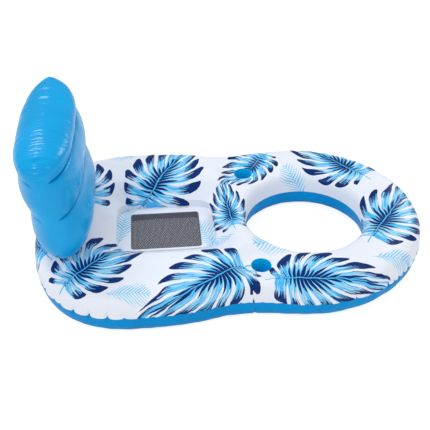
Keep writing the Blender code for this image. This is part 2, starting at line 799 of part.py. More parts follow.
def build_valve(prefix, sheet, matrix, finish_name, finish, carrier=None):
    """A push-in air valve: flange with sleeve, sliding stem, check flap and a
    stopper cap on a strap. matrix has +Z outwards and +X along the strap."""
    film = film_material(finish_name, finish)
    cut_bore(sheet, matrix, SLEEVE_RADIUS + GAP, SLEEVE_LENGTH, prefix + "_bore")
    flange_low = FIT_GAP
    flange_top = flange_low + FLANGE_THICKNESS
    inner = SLEEVE_RADIUS - SLEEVE_WALL
    turned_solid(prefix + "_flange", [
        (SLEEVE_RADIUS, -SLEEVE_LENGTH), (SLEEVE_RADIUS, flange_low),
        (FLANGE_RADIUS, flange_low), (FLANGE_RADIUS, flange_top),
        (inner, flange_top), (inner, -SLEEVE_LENGTH)],
        VALVE_SIDES, film, matrix, carrier)

    stem_carrier = add_empty(prefix + "_stem_carrier", matrix, carrier)
    local = Matrix.Identity(4)
    stem_radius = inner - GAP
    rim_low = flange_top + GAP
    rim_top = rim_low + STEM_RIM_THICKNESS
    stem = turned_solid(prefix + "_stem", [
        (stem_radius, -SLEEVE_LENGTH), (stem_radius, rim_top),
        (STEM_BORE_RADIUS, rim_top), (STEM_BORE_RADIUS, -SLEEVE_LENGTH)],
        VALVE_SIDES, film, local, stem_carrier)
    join_box(stem, ((STEM_BORE_RADIUS + stem_radius) / 2.0, -LUG_WIDTH / 2.0, rim_low),
             (LUG_REACH, LUG_WIDTH / 2.0, rim_top), local, prefix + "_lug")
    flap_top = -SLEEVE_LENGTH - GAP
    turned_solid(prefix + "_flap", [
        (stem_radius, flap_top - FLAP_THICKNESS), (stem_radius, flap_top),
        (0.0, flap_top), (0.0, flap_top - FLAP_THICKNESS)],
        VALVE_SIDES, film_material("clear_film", CLEAR_FILM), local, stem_carrier, (2, 3))

    cap_low = rim_top + GAP
    cap_top = cap_low + CAP_THICKNESS
    hinge = Matrix.Translation((STRAP_HINGE_REACH, 0.0, cap_low + STRAP_THICKNESS / 2.0))
    plug_carrier = add_empty(prefix + "_plug_carrier", hinge, stem_carrier)
    back = hinge.inverted()
    plug = turned_solid(prefix + "_plug", [
        (STOPPER_END_RADIUS, cap_low - STOPPER_LENGTH), (STOPPER_TOP_RADIUS, cap_low),
        (CAP_RADIUS, cap_low), (CAP_RADIUS, cap_top),
        (0.0, cap_top), (0.0, cap_low - STOPPER_LENGTH)],
        VALVE_SIDES, film, back, plug_carrier, (4, 5))
    join_box(plug, (CAP_RADIUS / 2.0, -LUG_WIDTH / 2.0, cap_low),
             (STRAP_HINGE_REACH, LUG_WIDTH / 2.0, cap_low + STRAP_THICKNESS), back,
             prefix + "_strap")


def build_backrest(hinge_height):
    """Backrest sheets, beams and valve, all on one carrier at the hinge."""
    lean = Matrix.Rotation(-BACK_LEAN, 4, 'Y')
    carrier = add_empty("backrest_carrier",
                        Matrix.Translation((BACK_X, 0.0, hinge_height)) @ lean)
    blue = film_material("blue_film", BLUE_FILM)
    front = build_back_sheet("backrest_front_sheet", 1.0, blue, carrier)
    rear = build_back_sheet("backrest_rear_sheet", -1.0, blue, carrier)
    for number, level in enumerate(("lower", "upper"), start=1):
        build_back_beam("backrest_beam_" + level, number * BACK_ROWS_PER_CHANNEL,
                        front, rear, carrier)
    tree = skin_tree(rear["points"], rear["quads"])
    place = valve_place(tree, (-BACK_THICKNESS, 0.0, BACK_VALVE_HEIGHT), (1.0, 0.0, 0.0),
                        (0.0, 0.0, 1.0))
    build_valve("backrest_valve", rear["item"], place, "blue_film", BLUE_FILM, carrier)


def build_base_valves(base, plan):
    """The valve of the rear chamber and that of the front chamber."""
    above = (REAR_VALVE_X, 0.0, TOP_SWELL + SEAM_HEIGHT + CUT_OVERRUN)
    place = valve_place(skin_tree(base["top"], plan.quads), above, (0.0, 0.0, -1.0),
                        (0.0, 1.0, 0.0))
    build_valve("rear_valve", base["top_item"], place, "white_film", WHITE_FILM)
    inside = (HOLE_CENTRE_X, 0.0, FRONT_VALVE_Z)
    place = valve_place(skin_tree(base["bottom"], plan.quads), inside, (0.0, -1.0, 0.0),
                        (1.0, 0.0, 0.0))
    build_valve("front_valve", base["bottom_item"], place, "deep_blue_film", DEEP_BLUE_FILM)


def build_chair():
    """Make every piece of the chair."""
    clear_objects()
    plan = BasePlan()
    weld, radius = base_heights(plan)
    base = build_base(plan, weld, radius)
    build_seat(plan)
    for side_name, side in (("left", 1.0), ("right", -1.0)):
        build_cup(side_name, side, base["top_item"])
    first = WALL_STEPS_FROM_WAIST
    last = OUTLINE_FRONT_STEPS - WALL_STEPS_FROM_WAIST
    build_chamber_wall("chamber_wall_right", plan.front[first], base)
    build_chamber_wall("chamber_wall_left", plan.front[last], base)
    tree = skin_tree(base["top"], plan.quads)
    hinge_height = crown_height(tree, BACK_X, 0.0) + HINGE_STRIP_HEIGHT
    build_hinge_strip(tree, hinge_height)
    build_backrest(hinge_height)
    build_base_valves(base, plan)


build_chair()
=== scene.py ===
"""Looks of the inflatable pool chair: films, leaf print, seat net, light and camera.

Axes as in the frame: +X from the backrest to the leg ring, +Y to the sitter's
left, +Z up. All lengths are in metres.
"""
import math
from functools import partialmethod

import bpy
import numpy as np
from mathutils import Matrix, Vector


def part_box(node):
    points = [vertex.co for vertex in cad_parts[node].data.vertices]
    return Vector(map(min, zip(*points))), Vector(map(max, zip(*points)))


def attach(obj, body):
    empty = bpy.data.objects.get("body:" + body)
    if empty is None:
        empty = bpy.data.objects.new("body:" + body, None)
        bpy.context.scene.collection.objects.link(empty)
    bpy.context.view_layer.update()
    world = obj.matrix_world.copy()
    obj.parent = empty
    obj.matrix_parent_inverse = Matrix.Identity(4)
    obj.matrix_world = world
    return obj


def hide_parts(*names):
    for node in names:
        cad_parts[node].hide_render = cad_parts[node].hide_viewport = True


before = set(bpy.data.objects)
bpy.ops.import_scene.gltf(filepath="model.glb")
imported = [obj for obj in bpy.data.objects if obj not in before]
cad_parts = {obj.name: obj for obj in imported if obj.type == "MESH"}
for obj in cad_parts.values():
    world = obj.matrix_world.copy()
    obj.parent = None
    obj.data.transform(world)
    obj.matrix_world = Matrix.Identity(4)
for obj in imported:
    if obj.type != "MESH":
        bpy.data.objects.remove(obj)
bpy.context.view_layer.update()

# Base outline, welds and swell, as the solids have them
BASE_FRONT_X = 0.8511
BASE_REAR_X = -0.8489
BODY_CENTRE_X = -0.4035
BODY_HALF_WIDTH = 0.5249
BODY_FRONT_REACH = 0.6699
BODY_POWER = 2.49
RING_CENTRE_X = 0.3204
RING_HALF_WIDTH = BODY_HALF_WIDTH - 0.0124
WAIST_X = 0.0487
WAIST_BLEND = 0.1317
SEAT_CENTRE_X = -0.2827
SEAT_HALF_LENGTH = 0.216
SEAT_HALF_WIDTH = 0.168
SEAT_POWER = 6.0
HOLE_CENTRE_X = 0.3417
HOLE_HALF_LENGTH = 0.2619
HOLE_HALF_WIDTH = 0.2566
HOLE_POWER = 2.0
SEAT_WELD = (SEAT_HALF_LENGTH, SEAT_HALF_WIDTH, SEAT_POWER)
HOLE_WELD = (HOLE_HALF_LENGTH, HOLE_HALF_WIDTH, HOLE_POWER)
SEAM_HEIGHT = 0.1017
HOLE_SEAM_HEIGHT = 0.0935
SEAT_WELD_HEIGHT = 0.1098
TOP_SWELL = 0.1074
TOP_KNEE = 0.075
BOTTOM_SWELL = 0.1217
BOTTOM_KNEE = 0.090

# Walls of the tubes where they fall to the seat weld: start, slope and easing
SEAT_WALL_START = 0.030
SEAT_WALL_SLOPE = 0.78
SEAT_WALL_EASE = 0.014

# Faces of the fine films
OUTLINE_STEPS = 800
WAIST_STEPS = 80
TUBE_ROWS = 40
HALVINGS = 50
SOLVE_STEPS = 1500
SOLVE_END = 1e-7
SMALL_STEP = 1e-4
TINY = 1e-12

# Waves of the base films: seed, pitch and height, and the swell where they set in
BASE_RIPPLES = ((11, 0.11, 0.0009), (12, 0.04, 0.0002))
HELD_RADIUS = 0.03
SEAT_HELD_RADIUS = 0.01
RIPPLE_WAVES = 7
RIPPLE_SPREAD = (0.6, 1.6)

# Puckers along the outer seam
PUCKER_SEED = 7
PUCKER_GAP = (0.028, 0.082)
PUCKER_REACH_TOP = (0.040, 0.125)
PUCKER_REACH_BOTTOM = (0.015, 0.045)
PUCKER_DEPTH = (0.0012, 0.0070)
PUCKER_SKEW = 1.3
PUCKER_FADE = 1.4
PUCKER_CUT_WIDTHS = 8.0
PUCKER_WIDTH = 0.0050
PUCKER_SPREAD = 0.10
PUCKER_LIFT = 0.0100
PUCKER_DRAW = 0.0050
SEAM_DRAW_REACH = 0.016
SEAM_DRAW_SHARPNESS = 1.6
SEAM_WINDOW = 30
LOBE_SHARE = 0.08
LOBE_FADE = 1.2
LEAST_LOOSENESS = 0.25
STRAIGHT_CURVATURE = 0.9
ROUND_CURVATURE = 2.3

# Dents round the valves
VALVE_DENT = 0.0028
VALVE_HOLE_REACH = 0.0125
VALVE_DENT_REACH = (0.018, 0.028)

# Cup wells
CUP_X = 0.1007
CUP_SEAM_INSET = 0.1548
CUP_FLOOR_RADIUS = 0.0360
CUP_DEPTH = 0.080
CUP_RIM_HEIGHT = 0.165
CUP_LEVEL_REACH = 0.055
CUP_PULL_REACH = 0.140
CUP_HOLE_RADIUS = 0.0428
CUP_SIDES = 180
CUP_PLEATS = 15
CUP_PLEAT_DEPTH = 0.0042
CUP_PLEAT_START = 0.004
CUP_PLEAT_RISE = 0.020
CUP_PLEAT_DRIFT = (0.7, 3.0)
CUP_PLEAT_SHARPNESS = 3

# Seat floor and net
MESH_LENGTH = 0.308
MESH_WIDTH = 0.246
MESH_CORNER = 0.014
MESH_MARGIN = 0.010
FLOOR_HEIGHT = 0.1104
NET_TOP = 0.1088
NET_PITCH = 0.0076
NET_STRAND = 0.0049
NET_THICKNESS = 0.0005
NET_WAVE = 0.0002

# Backrest
BACK_X = -0.6855
HINGE_GAP = 0.0003
BACK_LEAN = math.radians(6.1)
BACK_HALF_WIDTH = 0.3497
BACK_HEIGHT = 0.5238
BACK_THICKNESS = 0.2517
BACK_TOP_CORNER = 0.0536
BACK_FOOT_CORNER = 0.1280
BACK_NOTCH = 0.1815
BACK_END_POWER = 3.2
BACK_EDGE_POWER = 6.5
BACK_LOWER_WELD = 0.2473
BACK_UPPER_WELD = 0.4182
BACK_LEVELS = (0.0, BACK_LOWER_WELD, BACK_UPPER_WELD, BACK_HEIGHT)
BACK_TURN = np.array(Matrix.Rotation(-BACK_LEAN, 3, 'Y'))
BACK_ROWS = 64
BACK_COLUMNS = 300

# Camera
AZIMUTH = math.radians(-4.4707)
ELEVATION = math.radians(39.2240)
ROLL = math.radians(-0.3831)
CAMERA_PLACE = (-0.2845, -2.5645, 2.2089)
FOCAL_PIXELS = 741.1
FRAME_PIXELS = 430.0
CENTRE_SHIFT_PIXELS = (-4.97, 12.64)
SENSOR_MM = 36.0

# Cup films
CUP_EDGE_DROP = 0.0016
CUP_LIP = 0.0016
CUP_FLOOR_LIFT = 0.0015
CUP_FLOOR_ROUND = 0.006
CUP_FLOOR_INSET = 0.002
CUP_FLOOR_CROWN = 0.0015
CUP_CENTRE_RADIUS = 1e-5
CUP_ROUND_STEPS = 6
CUP_WALL_STEPS = 14
CUP_FLAT_STEPS = 8

# Seat floor film: waves, rings of the weld round the net as shares of the way out and
# their rise, and shares of the level rings
FLOOR_COLUMNS = 360
FLOOR_WAVE = 0.0016
FLOOR_RIPPLE = (23, 0.07, 1.0)
FLOOR_WELD_SHARE = 0.06
FLOOR_WELD = ((0.0, -0.0004), (0.02, 0.0006), (0.05, 0.0009), (0.09, 0.0008), (0.11, 0.0001),
              (0.14, 0.0))
FLOOR_SHARES = (0.22, 0.32, 0.42, 0.52, 0.62, 0.72, 0.82, 0.92, 1.0)

# Single folds of the top film: plan ends, width and depth
FOLD_TAPER = 0.7
TOP_FOLDS = (
    ((0.02, 0.47), (0.06, 0.36), 0.006, 0.0024),
    ((0.045, 0.475), (0.085, 0.385), 0.005, 0.0018),
    ((-0.01, 0.46), (0.03, 0.37), 0.005, 0.0012),
    ((0.062, -0.58), (0.078, -0.375), 0.0045, 0.0040),
    ((0.062, 0.58), (0.066, 0.44), 0.0045, 0.0030),
    ((0.10, -0.29), (0.16, -0.235), 0.005, 0.0016),
    ((-0.545, -0.215), (-0.50, -0.33), 0.005, 0.0022),
    ((-0.565, -0.22), (-0.53, -0.345), 0.005, 0.0026),
    ((-0.585, -0.235), (-0.56, -0.335), 0.005, 0.0018),
    ((-0.545, 0.215), (-0.50, 0.33), 0.005, 0.0022),
    ((-0.57, 0.22), (-0.54, 0.345), 0.005, 0.0022),
)

# Single folds of the bottom film, over the edges of the walls in the tube
BOTTOM_FOLDS = (
    ((0.056, -0.60), (0.066, -0.34), 0.0045, 0.0065),
    ((0.056, 0.60), (0.066, 0.34), 0.0045, 0.0055),
)

# Backrest weld grooves, and creases over its edge: place across and up, turn round the
# edge in degrees, reach forward and back, width and depth
BACK_GROOVE_DEPTH = (0.0130, 0.0060)
BACK_GROOVE_WIDTH = 0.0036
BACK_GROOVE_END_SHARE = 0.99
BACK_GROOVE_FADE_SHARE = 0.08
BACK_RIPPLE = (31, 0.13, 0.0007)
BACK_HELD_SHARE = 0.35
BACK_BEAM_SHARE = 0.93
BACK_BEAM_INSET = 0.0015
BACK_CREASES = (
    (-0.150, 0.524, 90.0, 0.060, 0.0070, 0.0060),
    (-0.186, 0.524, 90.0, 0.032, 0.0060, 0.0022),
    (-0.214, 0.524, 90.0, 0.034, 0.0060, 0.0030),
    (-0.246, 0.524, 90.0, 0.028, 0.0060, 0.0022),
    (-0.302, 0.523, 78.0, 0.066, 0.0070, 0.0080),
    (-0.333, 0.508, 45.0, 0.034, 0.0060, 0.0026),
    (-0.350, 0.474, 4.0, 0.050, 0.0070, 0.0060),
    (-0.350, 0.440, 0.0, 0.036, 0.0060, 0.0022),
    (-0.350, 0.372, 0.0, 0.046, 0.0070, 0.0034),
    (-0.350, 0.338, 0.0, 0.036, 0.0060, 0.0024),
    (-0.350, 0.300, 0.0, 0.040, 0.0060, 0.0022),
    (-0.340, 0.180, 0.0, 0.040, 0.0060, 0.0020),
    (0.120, 0.524, 90.0, 0.040, 0.0060, 0.0034),
    (0.205, 0.524, 90.0, 0.040, 0.0060, 0.0040),
    (0.300, 0.523, 102.0, 0.055, 0.0070, 0.0064),
    (0.350, 0.476, 180.0, 0.045, 0.0070, 0.0054),
    (0.350, 0.430, 180.0, 0.036, 0.0060, 0.0026),
    (0.350, 0.360, 180.0, 0.045, 0.0070, 0.0034),
    (0.350, 0.315, 180.0, 0.036, 0.0060, 0.0022),
)
BACK_CREASE_SPREAD = 0.09
BACK_DROOP = (0.016, 0.003)
BACK_DROOP_START = 0.13
BACK_DROOP_LENGTH = 0.21
BACK_DROOP_REACH = (0.085, 0.14)
BACK_TOP_FOLDS = 30
BACK_TOP_FOLD_SEED = 51
BACK_TOP_FOLD_SHARE = 0.92
BACK_TOP_FOLD_SCATTER = (0.1, 0.9)
BACK_TOP_FOLD_OVER = 0.4
BACK_TOP_FOLD_SLANT = (-0.006, 0.006)
BACK_TOP_FOLD_REACH = (0.030, 0.085)
BACK_TOP_FOLD_DEPTH = (0.0010, 0.0028)
BACK_TOP_FOLD_WIDTH = 0.0050

# Folds that run up from the seat weld
SEAT_FOLDS = 34
SEAT_FOLD_SEED = 41
SEAT_FOLD_SCATTER = 0.9
SEAT_FOLD_BACK = 0.3
SEAT_FOLD_REACH = (0.030, 0.080)
SEAT_FOLD_DEPTH = (0.0006, 0.0022)
SEAT_FOLD_WIDTH = 0.0045

# Looks of the solids that stay in view, by a word of their names
NODE_LOOKS = {
    "flap": "clear", "rear_valve": "white", "front_valve": "deep_blue",
    "backrest_valve": "back", "hinge_strip": "back", "weld_frame": "clear", "wall": "clear",
    "beam": "clear",
}

# Leaf print: kind, plan place of the middle, heading in degrees and length of each motif
MOTIF_STRIDE = 4.0
MOTIF_MIDDLE = 0.42
MOTIF_SPAN = {"leaf": (0.95, 0.78), "frond": (0.75, 0.42)}
MOTIFS = (
    ("leaf", -0.604, -0.316, 42.7, 0.367),
    ("leaf", -0.087, -0.411, 210.7, 0.400),
    ("leaf", 0.280, -0.448, -5.1, 0.387),
    ("leaf", 0.677, -0.099, 51.8, 0.402),
    ("leaf", 0.570, 0.330, 130.5, 0.381),
    ("leaf", 0.152, 0.370, 226.2, 0.285),
    ("leaf", -0.298, 0.266, 61.5, 0.413),
    ("leaf", -0.663, 0.234, 111.2, 0.394),
    ("leaf", -0.843, -0.098, 119.1, 0.381),
    ("leaf", 0.005, 0.016, 95.5, 0.257),
    ("frond", 0.224, -0.206, 181.6, 0.269),
    ("frond", 0.654, -0.352, -4.8, 0.203),
    ("frond", 0.343, 0.245, 114.5, 0.220),
    ("frond", -0.525, 0.529, 327.8, 0.224),
    ("frond", -0.089, -0.148, 190.6, 0.224),
    ("frond", -0.454, -0.476, -5.6, 0.179),
)
FLOOR_MOTIFS = (
    ("frond", -0.475, 0.03, 80.0, 0.24),
    ("frond", -0.10, -0.06, 110.0, 0.22),
)

# Slight unevenness of the printed motifs
DRIFT = 0.06
DRIFT_NOISE = (5.0, 1.0)
DRIFT_SEED = 7.0

# Shape of a split leaf and of a frond, as shares of their lengths. A pair is the two ends
# of a ramp, or what a random or uneven share is multiplied by and what is added to it
LOBE_SEED = 3.0
STROKE_SEED = 9.0
LEAF_FOCUS = 0.34
LEAF_FOCUS_DEPTH = 0.20
LEAF_BEND = 0.90
LEAF_TIP_ANGLE = 0.26
LEAF_BASE_ANGLE = 2.50
LEAF_LOBES = 7.0
LEAF_CROWN_TURN = (2.3, 0.35)
LEAF_REACH = (0.36, 0.10)
LEAF_LENGTH_SPREAD = (0.14, 0.93)
LEAF_SLIT_RAMP = (0.16, 0.50)
LEAF_SLIT_WIDTH = (0.08, 0.10)
LEAF_ROUND_START = 0.80
LEAF_BOW = (0.25, 0.05)
LEAF_STREAKS = ((6.0, 1.4, 3.7, 2.0), (14.0, 1.8, 1.9, 1.0))
LEAF_STREAK_RAMP = (0.44, 0.56)
LEAF_FINE_RAMP = (0.60, 0.66)
LEAF_FINE_START = (0.25, 0.45)
LEAF_FLAME = (15.0, 5.3)
LEAF_FLAME_RAMP = (0.36, 0.62)
LEAF_TIP = (-0.24, 0.87)
LEAF_TIP_SPREAD = 0.12
LEAF_STROKES = 2.0
LEAF_STROKE_END = (0.28, 0.24)
LEAF_STROKE_TAPER = 0.7
LEAF_STROKE_SLANT = 0.3
LEAF_STROKE_WIDTH = 0.54
LEAF_STROKE_RAMP = (-0.02, 0.04)
LEAF_STALK_RAMP = (0.0, 0.35)
LEAF_RIB = 0.0065
LEAF_RIB_ENDS = (-0.05, 1.02)
LEAF_RIB_EDGE = (0.07, -0.0245)
FROND_SLANT = 0.85
FROND_CURVE = 0.5
FROND_LEAFLETS = 13.0
FROND_REACH = 0.34
FROND_CROWN_POWER = 0.8
FROND_LENGTH_SPREAD = (0.3, 0.8)
FROND_WIDTH_SPREAD = (0.08, 0.23)
FROND_RIB = 0.005
FROND_RIB_ENDS = (-0.1, 0.95)
FROND_SHADE = 3.0
FROND_SHADE_RAMP = (0.40, 0.60)
FROND_FADE = (0.3, 0.75)

# Light: name, place, target, size and power of each lamp
WORLD_STRENGTH = 0.61
WORLD_MIRROR_STRENGTH = 0.20
FLOOR_GLOW = 0.83
FLOOR_SHADE = (0.36, 0.36, 0.36, 1.0)
FLOOR_ROUGHNESS = 0.9
FLOOR_GRAIN_SCALE = 3.0
FLOOR_SIZE = 6.0
FLOOR_LEVEL = -0.0004
LAMPS = (
    ("top_lamp", (-1.9, 1.9, 4.0), (-0.3, 0.0, 0.3), (1.3, 1.3), 52.0),
    ("key_lamp", (-2.2, -2.6, 3.4), (-0.1, 0.0, 0.2), (0.9, 0.9), 48.0),
    ("side_lamp", (2.6, 2.9, 2.2), (-0.5, 0.0, 0.4), (0.9, 1.6), 30.0),
    ("fill_lamp", (2.4, -2.2, 2.4), (0.0, 0.0, 0.2), (1.4, 1.4), 18.0),
)


def srgb(red, green, blue):
    """Linear colour of an 8-bit screen colour."""
    values = []
    for level in (red, green, blue):
        share = level / 255.0
        values.append(share / 12.92 if share <= 0.04045 else ((share + 0.055) / 1.055) ** 2.4)
    return (*values, 1.0)


# Films: gloss, relief, and scale and detail of their noises
FILM_SPECULAR = 0.13
PRINT_ROUGHNESS = 0.30
FILM_DEPTH = 0.10
FILM_RELIEF = 0.0008
SHADE_NOISE = (5.0, 3.0)
SHADE_RAMP = (0.35, 0.65)
SHEEN_NOISE = (9.0, 3.0)
SHEEN_SPREAD = 0.10
WAVE_NOISE = (26.0, 2.0)
WAVE_SHARE = 0.7
GRAIN_NOISE = (210.0, 2.0)
GRAIN_SHARE = 0.06
NET_ROUGHNESS = 0.75
NET_GRAIN_SCALE = 900.0

# Colours
WHITE = srgb(232, 237, 247)
NAVY = srgb(10, 48, 112)
SKY = srgb(72, 186, 245)
PALE = srgb(150, 212, 242)
FROND_SKY = srgb(96, 196, 238)
DEEP_BLUE = srgb(0, 148, 218)
# Cup wells: the deep blue film made brighter, painted light that stands in for light through the
# film and offsets the shade in the wells
CUP_BLUE_WITH_PAINTED_LIGHT = srgb(0, 184, 238)
BACK_BLUE = srgb(0, 166, 232)
NET_GREY = srgb(64, 66, 78)
NET_LIGHT = srgb(92, 94, 108)
CLEAR = srgb(216, 224, 232)
FLOOR_WHITE = srgb(244, 244, 244)
FLOOR_LIGHT = srgb(248, 248, 248)

# Plain films, by the name that the pieces ask for: material, colour, roughness, specular
# level, and how far the colour darkens
PLAIN_FILMS = {
    "print": ("plain_print_film", WHITE, PRINT_ROUGHNESS, FILM_SPECULAR, 0.0),
    "white": ("white_film", WHITE, 0.34, FILM_SPECULAR, FILM_DEPTH),
    "deep_blue": ("deep_blue_film", DEEP_BLUE, 0.30, 0.06, FILM_DEPTH),
    # cup: a lit copy of the deep blue film, with painted light in its brighter colour
    "cup": ("cup_film_painted_light", CUP_BLUE_WITH_PAINTED_LIGHT, 0.34, FILM_SPECULAR, FILM_DEPTH),
    "back": ("backrest_film", BACK_BLUE, 0.26, 0.28, FILM_DEPTH),
    "clear": ("clear_film", CLEAR, 0.22, FILM_SPECULAR, FILM_DEPTH),
}


def superellipse(x, y, half_x, half_y, power):
    """Size of a point against a superellipse: 1 on its edge, less inside."""
    return ((np.abs(x) / half_x) ** power + (np.abs(y) / half_y) ** power) ** (1.0 / power)


def smooth_least(first, second, blend):
    """The lesser of two values, rounded where they cross."""
    mix = np.clip(0.5 + 0.5 * (second - first) / blend, 0.0, 1.0)
    return second + (first - second) * mix - blend * mix * (1.0 - mix)


def smooth_share(share):
    """Ease a share between 0 and 1 in and out."""
    share = np.clip(share, 0.0, 1.0)
    return share ** 2 * (3.0 - 2.0 * share)


def farthest(inside, count, limit):
    """How far each of a number of rays stays inside a shape, found by halving."""
    near = np.zeros(count)
    far = np.full(count, limit)
    for _ in range(HALVINGS):
        middle = (near + far) / 2.0
        within = inside(middle)
        near = np.where(within, middle, near)
        far = np.where(within, far, middle)
    return near


def grid_faces(ids):
    """Four-sided faces between neighbouring rows and columns of point numbers."""
    return np.stack([ids[:-1, :-1], ids[:-1, 1:], ids[1:, 1:], ids[1:, :-1]],
                    axis=2).reshape(-1, 4)


def outline_depth(x, y):
    """Signed distance-like value of the base outline, negative inside."""
    body_half = np.where(x < BODY_CENTRE_X, BODY_CENTRE_X - BASE_REAR_X, BODY_FRONT_REACH)
    body = superellipse(x - BODY_CENTRE_X, y, body_half, BODY_HALF_WIDTH, BODY_POWER)
    ring = superellipse(x - RING_CENTRE_X, y, BASE_FRONT_X - RING_CENTRE_X, RING_HALF_WIDTH, 2.0)
    return smooth_least((body - 1.0) * BODY_HALF_WIDTH, (ring - 1.0) * RING_HALF_WIDTH,
                        WAIST_BLEND)


def outline_outward(points):
    """Unit directions out of the base outline at plan points."""
    x, y = points[:, 0], points[:, 1]
    along = np.stack([outline_depth(x + SMALL_STEP, y) - outline_depth(x - SMALL_STEP, y),
                      outline_depth(x, y + SMALL_STEP) - outline_depth(x, y - SMALL_STEP)], axis=1)
    return along / np.maximum(np.linalg.norm(along, axis=1), TINY)[:, None]


def trace_outline(centre_x, directions):
    """Points where rays from (centre_x, 0) cross the outline."""
    def inside(reach):
        return outline_depth(centre_x + reach * directions[:, 0], reach * directions[:, 1]) < 0.0

    reach = farthest(inside, len(directions), BASE_FRONT_X - BASE_REAR_X)
    return np.array([centre_x, 0.0]) + reach[:, None] * directions


def half_width_at(x):
    """Half width of the base at a place along it."""
    return trace_outline(x, np.array([[0.0, 1.0]]))[0, 1]


class Plan:
    """Fine plan mesh of the base, with columns of points round both openings."""

    def __init__(self):
        waist = half_width_at(WAIST_X)
        line = waist * np.sin(np.linspace(-math.pi / 2.0, math.pi / 2.0, WAIST_STEPS + 1))
        self.parts = [np.stack([np.full_like(line, WAIST_X), line], axis=1)]
        self.count = len(line)
        ids = np.arange(len(line))
        self.rear = self.add_loop(
            SEAT_CENTRE_X, math.atan2(waist, WAIST_X - SEAT_CENTRE_X), 2.0 * math.pi,
            ids[-1], ids[:-1], line / waist, SEAT_WELD)
        self.front = self.add_loop(
            HOLE_CENTRE_X, math.atan2(waist, HOLE_CENTRE_X - WAIST_X) - math.pi, 0.0,
            ids[0], ids[:0:-1], line / waist, HOLE_WELD)
        self.points = np.vstack(self.parts)
        self.quads = np.vstack([grid_faces(np.vstack([columns, columns[:1]]))
                                for columns in (self.rear, self.front)])
        self.outer = np.concatenate([self.rear[:OUTLINE_STEPS, -1],
                                     self.front[:OUTLINE_STEPS, -1]])

    def add_loop(self, centre_x, start_angle, full_turn, first, others, shares, weld):
        """Columns of point numbers from an inner weld to the outline and waist line."""
        centre = np.array([centre_x, 0.0])
        angles = np.linspace(start_angle, full_turn - start_angle, OUTLINE_STEPS + 1)
        directions = np.stack([np.cos(angles), np.sin(angles)], axis=1)
        outline = trace_outline(centre_x, directions)[1:-1]
        outline_ids = self.count + np.arange(len(outline))
        self.parts.append(outline)
        self.count += len(outline)
        targets = np.concatenate([[first], outline_ids, others])
        ends = np.vstack([self.parts[0][[first]], outline, self.parts[0][others]])
        seam = np.concatenate([[1.0], np.ones(len(outline)), shares[others] ** 2])[:, None]
        direction = (ends - centre) / np.linalg.norm(ends - centre, axis=1)[:, None]
        starts = centre + direction / superellipse(direction[:, 0], direction[:, 1],
                                                   *weld)[:, None]
        turn = math.pi * np.arange(TUBE_ROWS)[None, :] / TUBE_ROWS
        to_crown = 1.0 - np.cos(turn / 2.0)
        along = to_crown + ((1.0 - np.cos(turn)) / 2.0 - to_crown) * seam
        grid = starts[:, None, :] + (ends - starts)[:, None, :] * along[:, :, None]
        ids = self.count + np.arange(len(ends) * TUBE_ROWS).reshape(len(ends), TUBE_ROWS)
        self.parts.append(grid.reshape(-1, 2))
        self.count += ids.size
        return np.hstack([ids, targets[:, None]])


def film_edges(points, quads):
    """Edges of a film over the plan with their stiffness, and the area at each point."""
    triangles = np.vstack([quads[:, [0, 1, 2]], quads[:, [0, 2, 3]]])
    area = np.zeros(len(points))
    starts, ends, weights = [], [], []
    for turn in range(3):
        first, second, corner = (triangles[:, (turn + k) % 3] for k in range(3))
        to_first = points[first] - points[corner]
        to_second = points[second] - points[corner]
        cross = np.abs(to_first[:, 0] * to_second[:, 1] - to_first[:, 1] * to_second[:, 0])
        starts.append(first)
        ends.append(second)
        weights.append(0.5 * np.sum(to_first * to_second, axis=1) / cross)
        area += np.bincount(corner, cross / 6.0, minlength=len(points))
    return [np.concatenate(lists) for lists in (starts, ends, weights)], area


def settle(edges, fixed, values, load):
    """Solve the film's balance by conjugate gradients, with some points held."""
    start, end, weight = edges
    count = len(values)
    diagonal = (np.bincount(start, weight, minlength=count)
                + np.bincount(end, weight, minlength=count))
    free = ~fixed

    def spread(field):
        pull = diagonal * field
        pull -= np.bincount(start, weight * field[end], minlength=count)
        pull -= np.bincount(end, weight * field[start], minlength=count)
        return pull

    field = values.copy()
    rest = np.where(free, load - spread(field), 0.0)
    eased = rest / diagonal
    way = eased.copy()
    size = rest @ eased
    goal = size * SOLVE_END ** 2
    for _ in range(SOLVE_STEPS):
        pull = np.where(free, spread(way), 0.0)
        step = size / (way @ pull)
        field += step * way
        rest -= step * pull
        eased = rest / diagonal
        new_size = rest @ eased
        if new_size < goal:
            break
        way = eased + way * new_size / size
        size = new_size
    return field


def base_heights(plan):
    """Weld height of the base film and radius of its swell at every plan point."""
    edges, area = film_edges(plan.points, plan.quads)
    fixed = np.zeros(len(plan.points), dtype=bool)
    weld = np.full(len(plan.points), SEAM_HEIGHT)
    for loop, height in ((plan.outer, SEAM_HEIGHT), (plan.rear[:, 0], SEAT_WELD_HEIGHT),
                         (plan.front[:, 0], HOLE_SEAM_HEIGHT)):
        fixed[loop] = True
        weld[loop] = height
    nothing = np.zeros(len(weld))
    lift = settle(edges, fixed, nothing, area)
    return settle(edges, fixed, weld, nothing), np.sqrt(2.0 * np.clip(lift, 0.0, None))


def swell_height(radius, height, knee):
    """Rise of a film over its weld: round at the edge, flatter over wide tubes."""
    return height * radius / np.sqrt(radius ** 2 + knee ** 2)


def slope_to_seat(points, rise):
    """Rise of the top film, held to a gentle slope round the seat weld."""
    out = superellipse(points[:, 0] - SEAT_CENTRE_X, points[:, 1], *SEAT_WELD) - 1.0
    limit = SEAT_WALL_START + SEAT_WALL_SLOPE * SEAT_HALF_WIDTH * np.clip(out, 0.0, None)
    return smooth_least(rise, limit, SEAT_WALL_EASE)


def cup_centre(side):
    """Plan place of a cup's axis, in from the outer seam."""
    return np.array([CUP_X, side * (half_width_at(CUP_X) - CUP_SEAM_INSET)])


